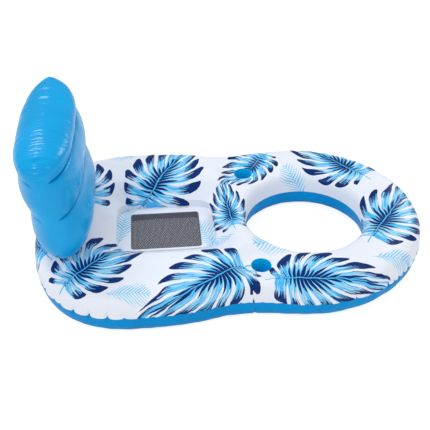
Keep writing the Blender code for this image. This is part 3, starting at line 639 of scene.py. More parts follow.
def pull_level(points, heights):
    """Heights of the top film, drawn level with the rims round the two cups."""
    for side in (1.0, -1.0):
        apart = np.linalg.norm(points - cup_centre(side), axis=1)
        share = smooth_share((CUP_PULL_REACH - apart) / (CUP_PULL_REACH - CUP_LEVEL_REACH))
        heights = heights + (CUP_RIM_HEIGHT - heights) * share
    return heights


def point_normals(points, quads):
    """Unit normals of a skin's points."""
    across = np.cross(points[quads[:, 2]] - points[quads[:, 0]],
                      points[quads[:, 3]] - points[quads[:, 1]])
    normals = np.stack([sum(np.bincount(quads[:, k], across[:, axis], minlength=len(points))
                            for k in range(4)) for axis in range(3)], axis=1)
    return normals / np.maximum(np.linalg.norm(normals, axis=1), TINY)[:, None]


def reach_from_valve(points, flange):
    """Distances of points from the middle of a valve's flange and sleeve."""
    low, high = (np.array(corner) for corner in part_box(flange))
    return np.linalg.norm(points - (low + high) / 2.0, axis=1)


def open_for_valve(points, quads, flange):
    """Faces of a film less those that a valve's sleeve passes through."""
    apart = reach_from_valve(points[quads].mean(axis=1), flange)
    return quads[apart > VALVE_HOLE_REACH]


def sink_under_valve(points, normals, flange):
    """Press a dent into a film round the flange of the valve that sits on it."""
    apart = reach_from_valve(points, flange)
    inner, outer = VALVE_DENT_REACH
    dent = VALVE_DENT * smooth_share((outer - apart) / (outer - inner))
    return points - normals * dent[:, None]


class SeamPlaces:
    """For every base point: how far along the outer seam it is, and how far in."""

    def __init__(self, plan, points):
        outline = plan.points[plan.outer]
        steps = np.linalg.norm(np.roll(outline, -1, axis=0) - outline, axis=1)
        self.length = steps.sum()
        along = np.concatenate([[0.0], np.cumsum(steps)[:-1]])
        self.along = np.zeros(len(points))
        self.inward = np.full(len(points), np.inf)
        tangent = np.roll(outline, -1, axis=0) - np.roll(outline, 1, axis=0)
        heading = np.unwrap(np.arctan2(tangent[:, 1], tangent[:, 0]))
        bend = np.gradient(heading) / np.maximum(steps, TINY)
        bend = np.concatenate([bend[-SEAM_WINDOW:], bend, bend[:SEAM_WINDOW]])
        bend = np.convolve(bend, np.full(2 * SEAM_WINDOW + 1, 1.0 / (2 * SEAM_WINDOW + 1)), 'valid')
        loose = smooth_share((bend - STRAIGHT_CURVATURE) / (ROUND_CURVATURE - STRAIGHT_CURVATURE))
        self.looseness_along = (along, loose)
        for number, columns in enumerate((plan.rear, plan.front)):
            picked = columns[:OUTLINE_STEPS]
            links = np.linalg.norm(np.diff(points[picked], axis=1), axis=2)
            self.along[picked] = along[number * OUTLINE_STEPS:][:len(picked), None]
            self.inward[picked] = np.hstack([np.cumsum(links[:, ::-1], axis=1)[:, ::-1],
                                             np.zeros((len(picked), 1))])

    def looseness(self, along):
        """How much spare film the seam gathers, from 0 on straight stretches to 1."""
        return float(np.interp(along, *self.looseness_along))


def make_puckers(places):
    """Places, depths and reaches of the puckers along the outer seam."""
    draw = np.random.RandomState(PUCKER_SEED)
    low, high = PUCKER_DEPTH
    puckers = []
    along = 0.0
    while along < places.length - PUCKER_GAP[0]:
        strength = LEAST_LOOSENESS + (1.0 - LEAST_LOOSENESS) * places.looseness(along)
        puckers.append((along, strength * (low + (high - low) * draw.uniform() ** PUCKER_SKEW),
                        draw.uniform(*PUCKER_REACH_TOP), draw.uniform(*PUCKER_REACH_BOTTOM)))
        along += draw.uniform(*PUCKER_GAP)
    return puckers


def pucker_depth(places, puckers, reach_place):
    """Depth of the puckers at every base point, and their pull on the seam."""
    depth = np.zeros(len(places.along))
    pull = np.zeros(len(places.along))
    for pucker in puckers:
        reach = pucker[reach_place]
        apart = np.abs(places.along - pucker[0])
        apart = np.minimum(apart, places.length - apart)
        near = (apart < PUCKER_CUT_WIDTHS * PUCKER_WIDTH) & (places.inward < reach)
        inward = places.inward[near]
        valley = np.exp(-apart[near] / (PUCKER_WIDTH + PUCKER_SPREAD * inward))
        fade = (1.0 - inward / reach) ** PUCKER_FADE
        depth[near] = np.maximum(depth[near], pucker[1] * valley * fade)
        seam = np.clip(1.0 - inward / SEAM_DRAW_REACH, 0.0, 1.0)
        draw = np.exp(-apart[near] * SEAM_DRAW_SHARPNESS / PUCKER_WIDTH)
        pull[near] = np.maximum(pull[near], pucker[1] / PUCKER_DEPTH[1] * seam * draw)
    return depth, pull


def lobe_height(places, puckers, reach_place):
    """Rise of the loose film between neighbouring puckers."""
    table = np.array(puckers)
    seats, reach = table[:, 0], table[:, reach_place]
    number = np.clip(np.searchsorted(seats, places.along, side='right') - 1, 0, len(seats) - 1)
    following = (number + 1) % len(seats)
    gap = np.append(seats, places.length)[number + 1] - seats[number]
    share = np.clip((places.along - seats[number]) / gap, 0.0, 1.0)
    strength = table[:, 1] / PUCKER_DEPTH[1]
    reach = (reach[number] + reach[following]) / 2.0
    fade = np.clip(1.0 - places.inward / reach, 0.0, 1.0) ** LOBE_FADE
    loose = np.sqrt(np.maximum(strength[number], strength[following]))
    return LOBE_SHARE * gap * loose * fade * np.sin(math.pi * share)


def ripple(points, seed, pitch, height):
    """Slow uneven waves over a surface, as a sum of a few plane waves."""
    draw = np.random.RandomState(seed)
    total = np.zeros(len(points))
    for _ in range(RIPPLE_WAVES):
        direction = draw.normal(size=points.shape[1])
        direction /= np.linalg.norm(direction)
        turns = 2.0 * math.pi / (pitch * draw.uniform(*RIPPLE_SPREAD))
        total += np.sin(points @ direction * turns + draw.uniform(0.0, 2.0 * math.pi))
    return total * height / math.sqrt(RIPPLE_WAVES)


def fold_depth(points, folds):
    """Depth of single folds, each given by two plan ends, a width and a depth."""
    total = np.zeros(len(points))
    for start, end, width, depth in folds:
        start, end = np.array(start), np.array(end)
        axis = end - start
        length = np.linalg.norm(axis)
        axis = axis / length
        offset = points[:, :2] - start
        along = offset @ axis / length
        across = np.abs(offset @ np.array([-axis[1], axis[0]]))
        taper = np.sin(math.pi * np.clip(along, 0.0, 1.0)) ** FOLD_TAPER
        total += depth * taper * np.exp(-across / width)
    return total


def flat_chart(plan, points):
    """Plan places of the film's points once it is laid flat from the tubes' crowns."""
    chart = points[:, :2].copy()
    for columns in (plan.rear, plan.front):
        chain = points[columns]
        links = np.linalg.norm(np.diff(chain, axis=1), axis=2)
        arc = np.hstack([np.zeros((len(columns), 1)), np.cumsum(links, axis=1)])
        crown = np.argmax(chain[:, :, 2], axis=1)
        pick = np.arange(len(columns))
        way = chain[:, -1, :2] - chain[:, 0, :2]
        way /= np.linalg.norm(way, axis=1)[:, None]
        offset = arc - arc[pick, crown][:, None]
        chart[columns] = chain[pick, crown, :2][:, None, :] + way[:, None, :] * offset[:, :, None]
    return chart


def print_motifs(item, chart, motifs, looks):
    """Lay the printed motifs on a film: each face takes the nearest motif's own chart."""
    mesh = item.data
    mesh.materials.append(looks["leaf"])
    mesh.materials.append(looks["frond"])
    sides = len(mesh.polygons[0].vertices)
    corners = np.empty(len(mesh.loops), dtype=int)
    mesh.loops.foreach_get("vertex_index", corners)
    corners = corners.reshape(-1, sides)
    centres = chart[corners].mean(axis=1)
    best = np.ones(len(corners))
    kind_of_face = np.zeros(len(corners), dtype=int)
    places = np.zeros((len(corners), sides, 2))
    for number, (kind, x, y, heading, length) in enumerate(motifs):
        turn = math.radians(heading)
        axes = np.array([[math.cos(turn), -math.sin(turn)], [math.sin(turn), math.cos(turn)]])
        middle = np.array([x, y])
        local = (centres - middle) @ axes / length
        span = np.array(MOTIF_SPAN[kind])
        apart = np.linalg.norm(local / span, axis=1)
        near = apart < best
        best[near] = apart[near]
        kind_of_face[near] = 1 if kind == "leaf" else 2
        spread = (chart[corners[near]] - middle) @ axes / length
        spread[:, :, 0] += MOTIF_MIDDLE + 1.0 + MOTIF_STRIDE * number
        places[near] = spread
    layer = mesh.uv_layers.new(name="motif")
    layer.data.foreach_set("uv", places.ravel().astype(np.float32))
    mesh.polygons.foreach_set("material_index", kind_of_face)
    mesh.update()


def crease_depth(points):
    """Depth of the creases that run over the backrest's edge from front to rear."""
    total = np.zeros(len(points))
    for across, height, turn, reach, width, depth in BACK_CREASES:
        turn = math.radians(turn)
        offset = points[:, 1:] - np.array([across, height])
        apart = np.abs(offset @ np.array([math.sin(turn), math.cos(turn)]))
        inward = np.abs(offset @ np.array([-math.cos(turn), math.sin(turn)]))
        near = smooth_share(1.0 - inward / BACK_CREASE_SPREAD)
        taper = np.clip(1.0 - (points[:, 0] / reach) ** 2, 0.0, 1.0)
        total += depth * taper * near * np.exp(-apart / width)
    return total


def droop_depth(points):
    """How far the backrest's top slackens towards its two upper corners."""
    out = smooth_share((np.abs(points[:, 1]) - BACK_DROOP_START) / BACK_DROOP_LENGTH)
    high = smooth_share((points[:, 2] - BACK_HEIGHT) / BACK_DROOP_REACH[1] + 1.0)
    middle = smooth_share(1.0 - np.abs(points[:, 0]) / BACK_DROOP_REACH[0])
    return np.where(points[:, 1] < 0.0, *BACK_DROOP) * out * high * middle


def back_top_folds():
    """Short folds that run down from the weld along the backrest's top."""
    draw = np.random.RandomState(BACK_TOP_FOLD_SEED)
    folds = []
    for number in range(BACK_TOP_FOLDS):
        across = 2.0 * (number + draw.uniform(*BACK_TOP_FOLD_SCATTER)) / BACK_TOP_FOLDS - 1.0
        across *= BACK_HALF_WIDTH * BACK_TOP_FOLD_SHARE
        reach = draw.uniform(*BACK_TOP_FOLD_REACH)
        folds.append(((across, BACK_HEIGHT + BACK_TOP_FOLD_OVER * reach),
                      (across + draw.uniform(*BACK_TOP_FOLD_SLANT), BACK_HEIGHT - reach),
                      BACK_TOP_FOLD_WIDTH, draw.uniform(*BACK_TOP_FOLD_DEPTH)))
    return folds


def seat_folds():
    """Short folds that run outwards from the seat weld up the tubes."""
    draw = np.random.RandomState(SEAT_FOLD_SEED)
    folds = []
    for number in range(SEAT_FOLDS):
        turn = 2.0 * math.pi * (number + draw.uniform(0.0, SEAT_FOLD_SCATTER)) / SEAT_FOLDS
        direction = np.array([math.cos(turn), math.sin(turn)])
        start = np.array([SEAT_CENTRE_X, 0.0]) + direction / superellipse(*direction, *SEAT_WELD)
        reach = draw.uniform(*SEAT_FOLD_REACH)
        folds.append((start - direction * SEAT_FOLD_BACK * reach, start + direction * reach,
                      SEAT_FOLD_WIDTH, draw.uniform(*SEAT_FOLD_DEPTH)))
    return folds


def add_mesh(name, points, faces, material):
    """Make a smooth mesh object from arrays of points and of equal-sided faces."""
    mesh = bpy.data.meshes.new(name)
    mesh.from_pydata(np.asarray(points, dtype=float).tolist(), [],
                     [tuple(face) for face in np.asarray(faces).tolist()])
    mesh.shade_smooth()
    mesh.materials.append(material)
    item = bpy.data.objects.new(name, mesh)
    bpy.context.scene.collection.objects.link(item)
    return item


def stand_for(item, body, slot, *nodes):
    """Let a piece ride on a body in place of CAD nodes, which are hidden; the slot argument is not
    used.
    """
    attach(item, body)
    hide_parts(*nodes)


def feed(tree, *pairs):
    """Put fields, sockets or plain values into the sockets they are paired with."""
    for value, socket in pairs:
        value = getattr(value, "socket", value)
        if isinstance(value, bpy.types.NodeSocket):
            tree.links.new(value, socket)
        else:
            socket.default_value = value


class Field:
    """A number inside a material's node tree, with the usual sums."""

    def __init__(self, tree, socket):
        self.tree = tree
        self.socket = socket

    def using(self, operation, *others):
        """Run this number and others through a Math node."""
        node = self.tree.nodes.new('ShaderNodeMath')
        node.operation = operation
        feed(self.tree, *zip((self, *others), node.inputs))
        return Field(self.tree, node.outputs[0])

    __add__ = partialmethod(using, 'ADD')
    __sub__ = partialmethod(using, 'SUBTRACT')
    __mul__ = partialmethod(using, 'MULTIPLY')
    __truediv__ = partialmethod(using, 'DIVIDE')
    over = partialmethod(using, 'GREATER_THAN')
    under = partialmethod(using, 'LESS_THAN')
    size = partialmethod(using, 'ABSOLUTE')
    floor = partialmethod(using, 'FLOOR')
    most = partialmethod(using, 'MAXIMUM')
    least = partialmethod(using, 'MINIMUM')
    power = partialmethod(using, 'POWER')
    sine = partialmethod(using, 'SINE')

    def inverse(self):
        """One less this share."""
        return self * -1.0 + 1.0

    def spread(self, width, start):
        """This share of a width, from a start."""
        return self * width + start

    def root(self):
        """Square root, and 0 for a negative number."""
        return self.most(0.0).using('SQRT')

    def ramp(self, low, high):
        """Smooth share of the way between two values."""
        node = self.tree.nodes.new('ShaderNodeMapRange')
        node.interpolation_type = 'SMOOTHSTEP'
        feed(self.tree, (self, node.inputs['Value']), (low, node.inputs['From Min']),
             (high, node.inputs['From Max']))
        return Field(self.tree, node.outputs['Result'])


def pack_vector(tree, *values):
    """A vector socket made of up to three numbers."""
    node = tree.nodes.new('ShaderNodeCombineXYZ')
    feed(tree, *zip(values, node.inputs))
    return node.outputs[0]


def split_vector(tree, vector):
    """The three numbers of a vector socket."""
    node = tree.nodes.new('ShaderNodeSeparateXYZ')
    tree.links.new(vector, node.inputs[0])
    return [Field(tree, socket) for socket in node.outputs]


def noise(tree, vector, scale, detail=2.0):
    """Even noise between 0 and 1 over a vector."""
    node = tree.nodes.new('ShaderNodeTexNoise')
    feed(tree, (vector, node.inputs['Vector']), (scale, node.inputs['Scale']),
         (detail, node.inputs['Detail']))
    return Field(tree, node.outputs['Fac'])


def random_values(tree, *seeds):
    """Three even random numbers for each set of seeds."""
    node = tree.nodes.new('ShaderNodeTexWhiteNoise')
    node.noise_dimensions = '3D'
    tree.links.new(pack_vector(tree, *seeds), node.inputs['Vector'])
    return split_vector(tree, node.outputs['Color'])


def blend_colour(tree, share, first, second):
    """Mix two colours, each a socket or a plain colour, by a share."""
    node = tree.nodes.new('ShaderNodeMix')
    node.data_type = 'RGBA'
    colours = [socket for socket in node.inputs if socket.type == 'RGBA']
    feed(tree, (share, node.inputs['Factor']), (first, colours[0]), (second, colours[1]))
    return [socket for socket in node.outputs if socket.type == 'RGBA'][0]


def new_material(name, roughness, specular=0.5):
    """A material with its Principled shader and the object's own coordinates."""
    material = bpy.data.materials.new(name)
    material.use_nodes = True
    tree = material.node_tree
    shader = tree.nodes['Principled BSDF']
    shader.inputs['Roughness'].default_value = roughness
    shader.inputs['Specular IOR Level'].default_value = specular
    place = tree.nodes.new('ShaderNodeTexCoord').outputs['Object']
    return material, tree, shader, place


def finish_film(tree, shader, place, colour, roughness):
    """Give a film its colour, its uneven gloss and the faint relief of stretched plastic."""
    sheen = noise(tree, place, *SHEEN_NOISE) * SHEEN_SPREAD + (roughness - SHEEN_SPREAD / 2.0)
    waves = noise(tree, place, *WAVE_NOISE) * WAVE_SHARE
    height = waves + noise(tree, place, *GRAIN_NOISE) * GRAIN_SHARE
    bump = tree.nodes.new('ShaderNodeBump')
    feed(tree, (colour, shader.inputs['Base Color']), (sheen, shader.inputs['Roughness']),
         (1.0, bump.inputs['Strength']), (FILM_RELIEF, bump.inputs['Distance']),
         (height, bump.inputs['Height']), (bump.outputs['Normal'], shader.inputs['Normal']))


def film_material(name, colour, roughness, specular, depth):
    """Coloured film: an even colour with slow changes of depth."""
    material, tree, shader, place = new_material(name, roughness, specular=specular)
    darker = tuple(value * (1.0 - depth) for value in colour[:3]) + (1.0,)
    shade = noise(tree, place, *SHADE_NOISE).ramp(*SHADE_RAMP)
    finish_film(tree, shader, place, blend_colour(tree, shade, darker, colour), roughness)
    return material


def print_material(name, draw):
    """White film with a motif printed on it by its own function."""
    material, tree, shader, place = new_material(name, PRINT_ROUGHNESS, specular=FILM_SPECULAR)
    finish_film(tree, shader, place, draw(tree), PRINT_ROUGHNESS)
    return material


def motif_place(tree):
    """Along and across places in a motif, with its number and which side of the rib."""
    chart = tree.nodes.new('ShaderNodeUVMap')
    chart.uv_map = "motif"
    place, across, _ = split_vector(tree, chart.outputs[0])
    number = (place / MOTIF_STRIDE).floor()
    along = place - number * MOTIF_STRIDE - 1.0
    drift = noise(tree, pack_vector(tree, along, across, number), *DRIFT_NOISE) - 0.5
    swapped = pack_vector(tree, across, along, number + DRIFT_SEED)
    drift_across = noise(tree, swapped, *DRIFT_NOISE) - 0.5
    along = along + drift * DRIFT
    across = across + drift_across * DRIFT
    return along, across, number, across.over(0.0)


def draw_leaf(tree):
    """Colour of a split leaf: fanned lobes with dark tips, and strokes by the rib."""
    along, across, number, side = motif_place(tree)
    out = across.size()
    ahead = along - LEAF_FOCUS
    height = out + LEAF_FOCUS_DEPTH
    reach = (ahead * ahead + height * height).root() * out / height
    angle = height.using('ARCTAN2', ahead) + reach * LEAF_BEND
    turn = (angle - LEAF_TIP_ANGLE) / (LEAF_BASE_ANGLE - LEAF_TIP_ANGLE)
    lobe_place = turn * LEAF_LOBES + side * 0.5
    lobe = lobe_place.floor()
    across_lobe = lobe_place - lobe - 0.5
    first, second, third = random_values(tree, lobe, side + LOBE_SEED, number)
    lobe_turn = (lobe + 0.5 - side * 0.5) / LEAF_LOBES
    length = lobe_turn.spread(*LEAF_CROWN_TURN).sine().spread(*LEAF_REACH)
    share = reach / (length * first.spread(*LEAF_LENGTH_SPREAD))

    slit = share.ramp(*LEAF_SLIT_RAMP) * second.spread(*LEAF_SLIT_WIDTH)
    end = ((share - LEAF_ROUND_START) / (1.0 - LEAF_ROUND_START)).most(0.0)
    bow = end * end * third.spread(*LEAF_BOW)
    half = slit.spread(-1.0, 0.5) * (end * end).inverse().root()
    inside = (across_lobe + bow).size().under(half) * turn.over(0.0) * turn.under(1.0)

    streaks, fine = (
        noise(tree, pack_vector(tree, across_lobe * fineness, share * length_scale,
                                lobe * shift + number), 1.0, detail)
        for fineness, length_scale, shift, detail in LEAF_STREAKS)
    fineness, shift = LEAF_FLAME
    flame = noise(tree, pack_vector(tree, across_lobe * fineness, lobe * shift, number), 1.0, 1.0)
    dark_tip = share.over(flame.ramp(*LEAF_FLAME_RAMP).spread(*LEAF_TIP) - first * LEAF_TIP_SPREAD)
    stroke_place = lobe_place * LEAF_STROKES
    stroke = stroke_place.floor()
    stroke_end = random_values(tree, stroke, side + STROKE_SEED, number)[0].spread(*LEAF_STROKE_END)
    taper = (share / stroke_end).inverse().most(0.0).power(LEAF_STROKE_TAPER)
    taper = taper * turn.inverse().ramp(*LEAF_STALK_RAMP) * share.ramp(*LEAF_STROKE_RAMP)
    across_stroke = (stroke_place - stroke - 0.5 + share * LEAF_STROKE_SLANT).size()
    dark_stroke = across_stroke.under(taper * LEAF_STROKE_WIDTH)
    rib_ends = along.over(LEAF_RIB_ENDS[0]) * along.under(LEAF_RIB_ENDS[1])
    beside_rib = out.under(fine.spread(*LEAF_RIB_EDGE)) * rib_ends
    on_rib = out.under(LEAF_RIB) * rib_ends
    dark = (dark_tip + dark_stroke + beside_rib).least(1.0)

    colour = blend_colour(tree, streaks.ramp(*LEAF_STREAK_RAMP), SKY, PALE)
    fine_streaks = fine.ramp(*LEAF_FINE_RAMP) * share.ramp(*LEAF_FINE_START)
    colour = blend_colour(tree, fine_streaks, colour, WHITE)
    colour = blend_colour(tree, dark, colour, NAVY)
    colour = blend_colour(tree, on_rib, colour, SKY)
    return blend_colour(tree, (inside + on_rib).least(1.0), WHITE, colour)


def draw_frond(tree):
    """Colour of a pale frond of narrow curved leaflets."""
    along, across, number, side = motif_place(tree)
    out = across.size()
    start = along - out * FROND_SLANT - out * out * FROND_CURVE
    leaflet_place = start * FROND_LEAFLETS + side * 0.5
    leaflet = leaflet_place.floor()
    first, second, _ = random_values(tree, leaflet, side + LOBE_SEED, number)
    crown = (start.most(0.001).power(FROND_CROWN_POWER) * math.pi).sine()
    share = out / (crown * FROND_REACH * first.spread(*FROND_LENGTH_SPREAD)).most(0.002)
    half = (share * share).inverse() * second.spread(*FROND_WIDTH_SPREAD)
    inside = (leaflet_place - leaflet - 0.5).size().under(half) * start.over(0.0) * start.under(1.0)
    on_rib = out.under(FROND_RIB) * start.over(FROND_RIB_ENDS[0]) * start.under(FROND_RIB_ENDS[1])
    shade = noise(tree, pack_vector(tree, along * FROND_SHADE, across * FROND_SHADE, number), 1.0)
    colour = blend_colour(tree, shade.ramp(*FROND_SHADE_RAMP), PALE, FROND_SKY)
    inside = (inside + on_rib).least(1.0) * shade.spread(*FROND_FADE)
    return blend_colour(tree, inside, WHITE, colour)


class BaseFilms:
    """The upper and lower films of the base, with their puckers and folds."""

    def __init__(self):
        self.plan = Plan()
        plan_points = self.plan.points
        weld, self.radius = base_heights(self.plan)
        rise = slope_to_seat(plan_points, swell_height(self.radius, TOP_SWELL, TOP_KNEE))
        drop = swell_height(self.radius, BOTTOM_SWELL, BOTTOM_KNEE)
        self.smooth = np.column_stack([plan_points, pull_level(plan_points, weld + rise)])
        self.places = SeamPlaces(self.plan, self.smooth)
        self.puckers = make_puckers(self.places)
        self.outward = outline_outward(plan_points)
        sunk = np.column_stack([plan_points, np.maximum(weld - drop, 0.0)])
        self.top = self.shape(self.smooth, 1.0, 2, "rear_valve_flange")
        self.bottom = self.shape(sunk, -1.0, 3, "front_valve_flange")
        for seam in (self.plan.outer, self.plan.rear[:, 0], self.plan.front[:, 0]):
            shared = (self.top[seam] + self.bottom[seam]) / 2.0
            self.top[seam] = shared
            self.bottom[seam] = shared
        self.bottom[:, 2] = np.maximum(self.bottom[:, 2], 0.0)

    def shape(self, points, side, reach_place, flange):
        """Press the puckers, folds and ripples into one film and draw its seam in."""
        depth, pull = pucker_depth(self.places, self.puckers, reach_place)
        normals = side * point_normals(points, self.plan.quads)
        normals *= np.sign(normals[:, 2:]) * side
        held = smooth_share(self.radius / HELD_RADIUS)
        relief = sum(ripple(points, *waves) for waves in BASE_RIPPLES) * held
        relief += lobe_height(self.places, self.puckers, reach_place) - depth
        relief -= fold_depth(points, TOP_FOLDS if side > 0.0 else BOTTOM_FOLDS) * held
        if side > 0.0:
            relief -= fold_depth(points, seat_folds()) * smooth_share(self.radius / SEAT_HELD_RADIUS)
        shaped = points + normals * relief[:, None]
        shaped[:, :2] -= self.outward * (PUCKER_DRAW * pull)[:, None]
        shaped[:, 2] += PUCKER_LIFT * pull
        return sink_under_valve(shaped, normals, flange)


def cut_cup_holes(points, quads):
    """Drop the faces over the cup wells and round off the holes' rims."""
    centres = [cup_centre(side) for side in (1.0, -1.0)]
    inside = np.zeros(len(points), dtype=bool)
    for centre in centres:
        inside |= np.linalg.norm(points[:, :2] - centre, axis=1) < CUP_HOLE_RADIUS
    dropped = inside[quads].any(axis=1)
    rim = np.intersect1d(quads[dropped], quads[~dropped])
    points = points.copy()
    for centre in centres:
        offset = points[rim, :2] - centre
        apart = np.linalg.norm(offset, axis=1)
        near = apart < 2.0 * CUP_HOLE_RADIUS
        points[rim[near], :2] = centre + offset[near] / apart[near, None] * CUP_HOLE_RADIUS
        points[rim[near], 2] = CUP_RIM_HEIGHT - CUP_EDGE_DROP
    return points, quads[~dropped]


def cup_profile():
    """Radii and heights down a cup well, from the film's edge to the floor's centre."""
    edge = CUP_RIM_HEIGHT - CUP_EDGE_DROP
    floor = CUP_RIM_HEIGHT - CUP_DEPTH + CUP_FLOOR_LIFT
    foot = CUP_FLOOR_RADIUS - CUP_FLOOR_INSET
    lip_radius, lip_height = CUP_HOLE_RADIUS - CUP_LIP, edge - CUP_LIP
    round_turns = np.linspace(0.0, math.pi / 2.0, CUP_ROUND_STEPS + 1)
    wall = np.linspace(0.0, 1.0, CUP_WALL_STEPS + 1)[1:]
    flat = np.linspace(0.0, 1.0, CUP_FLAT_STEPS + 1)[1:]
    radii = (CUP_HOLE_RADIUS - CUP_LIP * np.sin(round_turns),
             lip_radius + (foot - lip_radius) * wall,
             foot - CUP_FLOOR_ROUND * (1.0 - np.cos(round_turns[1:])),
             (foot - CUP_FLOOR_ROUND) * (1.0 - flat) + CUP_CENTRE_RADIUS)
    heights = (edge - CUP_LIP * (1.0 - np.cos(round_turns)),
               lip_height + (floor + CUP_FLOOR_ROUND - lip_height) * wall,
               floor + CUP_FLOOR_ROUND * (1.0 - np.sin(round_turns[1:])),
               floor + CUP_FLOOR_CROWN * np.sin(math.pi / 2.0 * flat))
    return np.concatenate(radii)[:, None], np.concatenate(heights)[:, None]


def build_cup(name, centre, material):
    """A cup well: its profile turned round an upright axis, with pleats in its wall."""
    turn = 2.0 * math.pi * np.arange(CUP_SIDES) / CUP_SIDES
    drift, drift_turns = CUP_PLEAT_DRIFT
    pleat = 0.5 + 0.5 * np.cos(CUP_PLEATS * turn + drift * np.sin(drift_turns * turn))
    radius, height = cup_profile()
    slack = smooth_share((CUP_RIM_HEIGHT - CUP_PLEAT_START - height) / CUP_PLEAT_RISE)
    slack = slack * np.minimum(radius / CUP_FLOOR_RADIUS, 1.0) ** 2
    reach = radius - CUP_PLEAT_DEPTH * slack * pleat ** CUP_PLEAT_SHARPNESS
    points = np.stack([centre[0] + reach * np.cos(turn), centre[1] + reach * np.sin(turn),
                       height + np.zeros_like(reach)], axis=2)
    ids = np.arange(reach.size).reshape(reach.shape)
    quads = grid_faces(np.hstack([ids, ids[:, :1]]))[:, ::-1]
    return add_mesh(name, points.reshape(-1, 3), quads, material)


def rounded_reach(directions, half_x, half_y, corner):
    """Distance from a rounded rectangle's centre to its edge along directions."""
    core = np.array([half_x, half_y]) - corner

    def inside(reach):
        over = np.maximum(np.abs(directions * reach[:, None]) - core, 0.0)
        return np.linalg.norm(over, axis=1) < corner

    return farthest(inside, len(directions), 2.0 * (half_x + half_y))


def build_seat_floor(material):
    """The level film between the seat weld and the opening over the net."""
    angles = 2.0 * math.pi * np.arange(FLOOR_COLUMNS) / FLOOR_COLUMNS
    directions = np.column_stack([np.cos(angles), np.sin(angles)])
    inner = rounded_reach(directions, MESH_LENGTH / 2.0, MESH_WIDTH / 2.0, MESH_CORNER)
    outer = 1.0 / superellipse(directions[:, 0], directions[:, 1], *SEAT_WELD)
    rows = []
    for share, rise in (*FLOOR_WELD, *((share, 0.0) for share in FLOOR_SHARES)):
        reach = inner + (outer - inner) * share
        plan = np.array([SEAT_CENTRE_X, 0.0]) + directions * reach[:, None]
        free_share = max(share - FLOOR_WELD_SHARE, 0.0) / (1.0 - FLOOR_WELD_SHARE)
        wave = np.clip(0.5 + 0.5 * ripple(plan, *FLOOR_RIPPLE), 0.0, 1.5)
        rows.append(np.column_stack([plan, FLOOR_HEIGHT + rise + FLOOR_WAVE * wave
                                     * math.sin(math.pi * free_share)]))
    ids = np.arange(len(rows) * FLOOR_COLUMNS).reshape(len(rows), FLOOR_COLUMNS)
    quads = grid_faces(np.hstack([ids, ids[:, :1]]))[:, ::-1]
    return add_mesh("seat_floor_film", np.vstack(rows), quads, material)


def build_net(material):
    """A woven net of flat strands that cross at a slant."""
    half = np.array([MESH_LENGTH, MESH_WIDTH]) / 2.0 + MESH_MARGIN
    number = int(half.sum() / math.sqrt(2.0) / NET_PITCH)
    level = NET_TOP - NET_THICKNESS / 2.0 - NET_WAVE
    points, quads = [], []
    count = 0
    for slant in (1.0, -1.0):
        direction = np.array([1.0, slant]) / math.sqrt(2.0)
        across = np.array([-slant, 1.0]) / math.sqrt(2.0)
        for index in range(-number, number + 1):
            middle = across * index * NET_PITCH
            ends = np.sort([(-half - middle) / direction, (half - middle) / direction], axis=0)
            start, end = ends[0].max(), ends[1].min()
            if end - start < 2.0 * NET_PITCH:
                continue
            first, last = math.ceil(start / NET_PITCH), math.floor(end / NET_PITCH)
            along = np.concatenate([[start], np.arange(first, last + 1) * NET_PITCH, [end]])
            over = np.where((np.arange(first - 1, last + 2) + index) % 2 == 0, slant, -slant)
            line = middle + (SEAT_CENTRE_X, 0.0) + along[:, None] * direction
            for wide, high in ((-1, -1), (1, -1), (1, 1), (-1, 1)):
                points.append(np.column_stack([line + across * wide * NET_STRAND / 2.0,
                                               level + NET_WAVE * over
                                               + high * NET_THICKNESS / 2.0]))
            ids = count + np.arange(4 * len(along)).reshape(4, -1)
            quads.append(grid_faces(np.vstack([ids, ids[:1]])))
            quads.append(np.array([ids[::-1, -1], ids[:, 0]]))
            count += ids.size
    return add_mesh("seat_net", np.vstack(points), np.vstack(quads), material)


def back_half_width(height):
    """Half width of the backrest outline at a height above its foot."""
    inset = 0.0
    for corner, reach in ((BACK_FOOT_CORNER, height), (BACK_TOP_CORNER, BACK_HEIGHT - height)):
        if reach < corner:
            inset = corner - math.sqrt(max(corner ** 2 - (corner - reach) ** 2, 0.0))
    return BACK_HALF_WIDTH - inset


def back_half_thickness(across, height):
    """Half thickness at shares of the half width and a height."""
    number = max(k for k in range(3) if height >= BACK_LEVELS[k])
    low, high = BACK_LEVELS[number:number + 2]
    bulge = 1.0 - BACK_NOTCH * ((2.0 * height - low - high) / (high - low)) ** 2
    ends = np.sqrt(np.maximum(1.0 - np.abs(across) ** BACK_END_POWER, 0.0))
    level = abs(2.0 * height / BACK_HEIGHT - 1.0)
    return BACK_THICKNESS / 2.0 * bulge * ends * math.sqrt(max(1.0 - level ** BACK_EDGE_POWER, 0.0))


def back_row(side, across, height, inset=0.0):
    """A level row of points on the backrest's front or rear face."""
    return np.column_stack([side * (back_half_thickness(across, height) - inset),
                            across * back_half_width(height), np.full(len(across), height)])


def leaned(points):
    """Backrest points, given upright, as they stand on the hinge strip."""
    foot = (BACK_X, 0.0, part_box("backrest_hinge_strip")[1][2] + HINGE_GAP)
    return points @ BACK_TURN.T + np.array(foot)


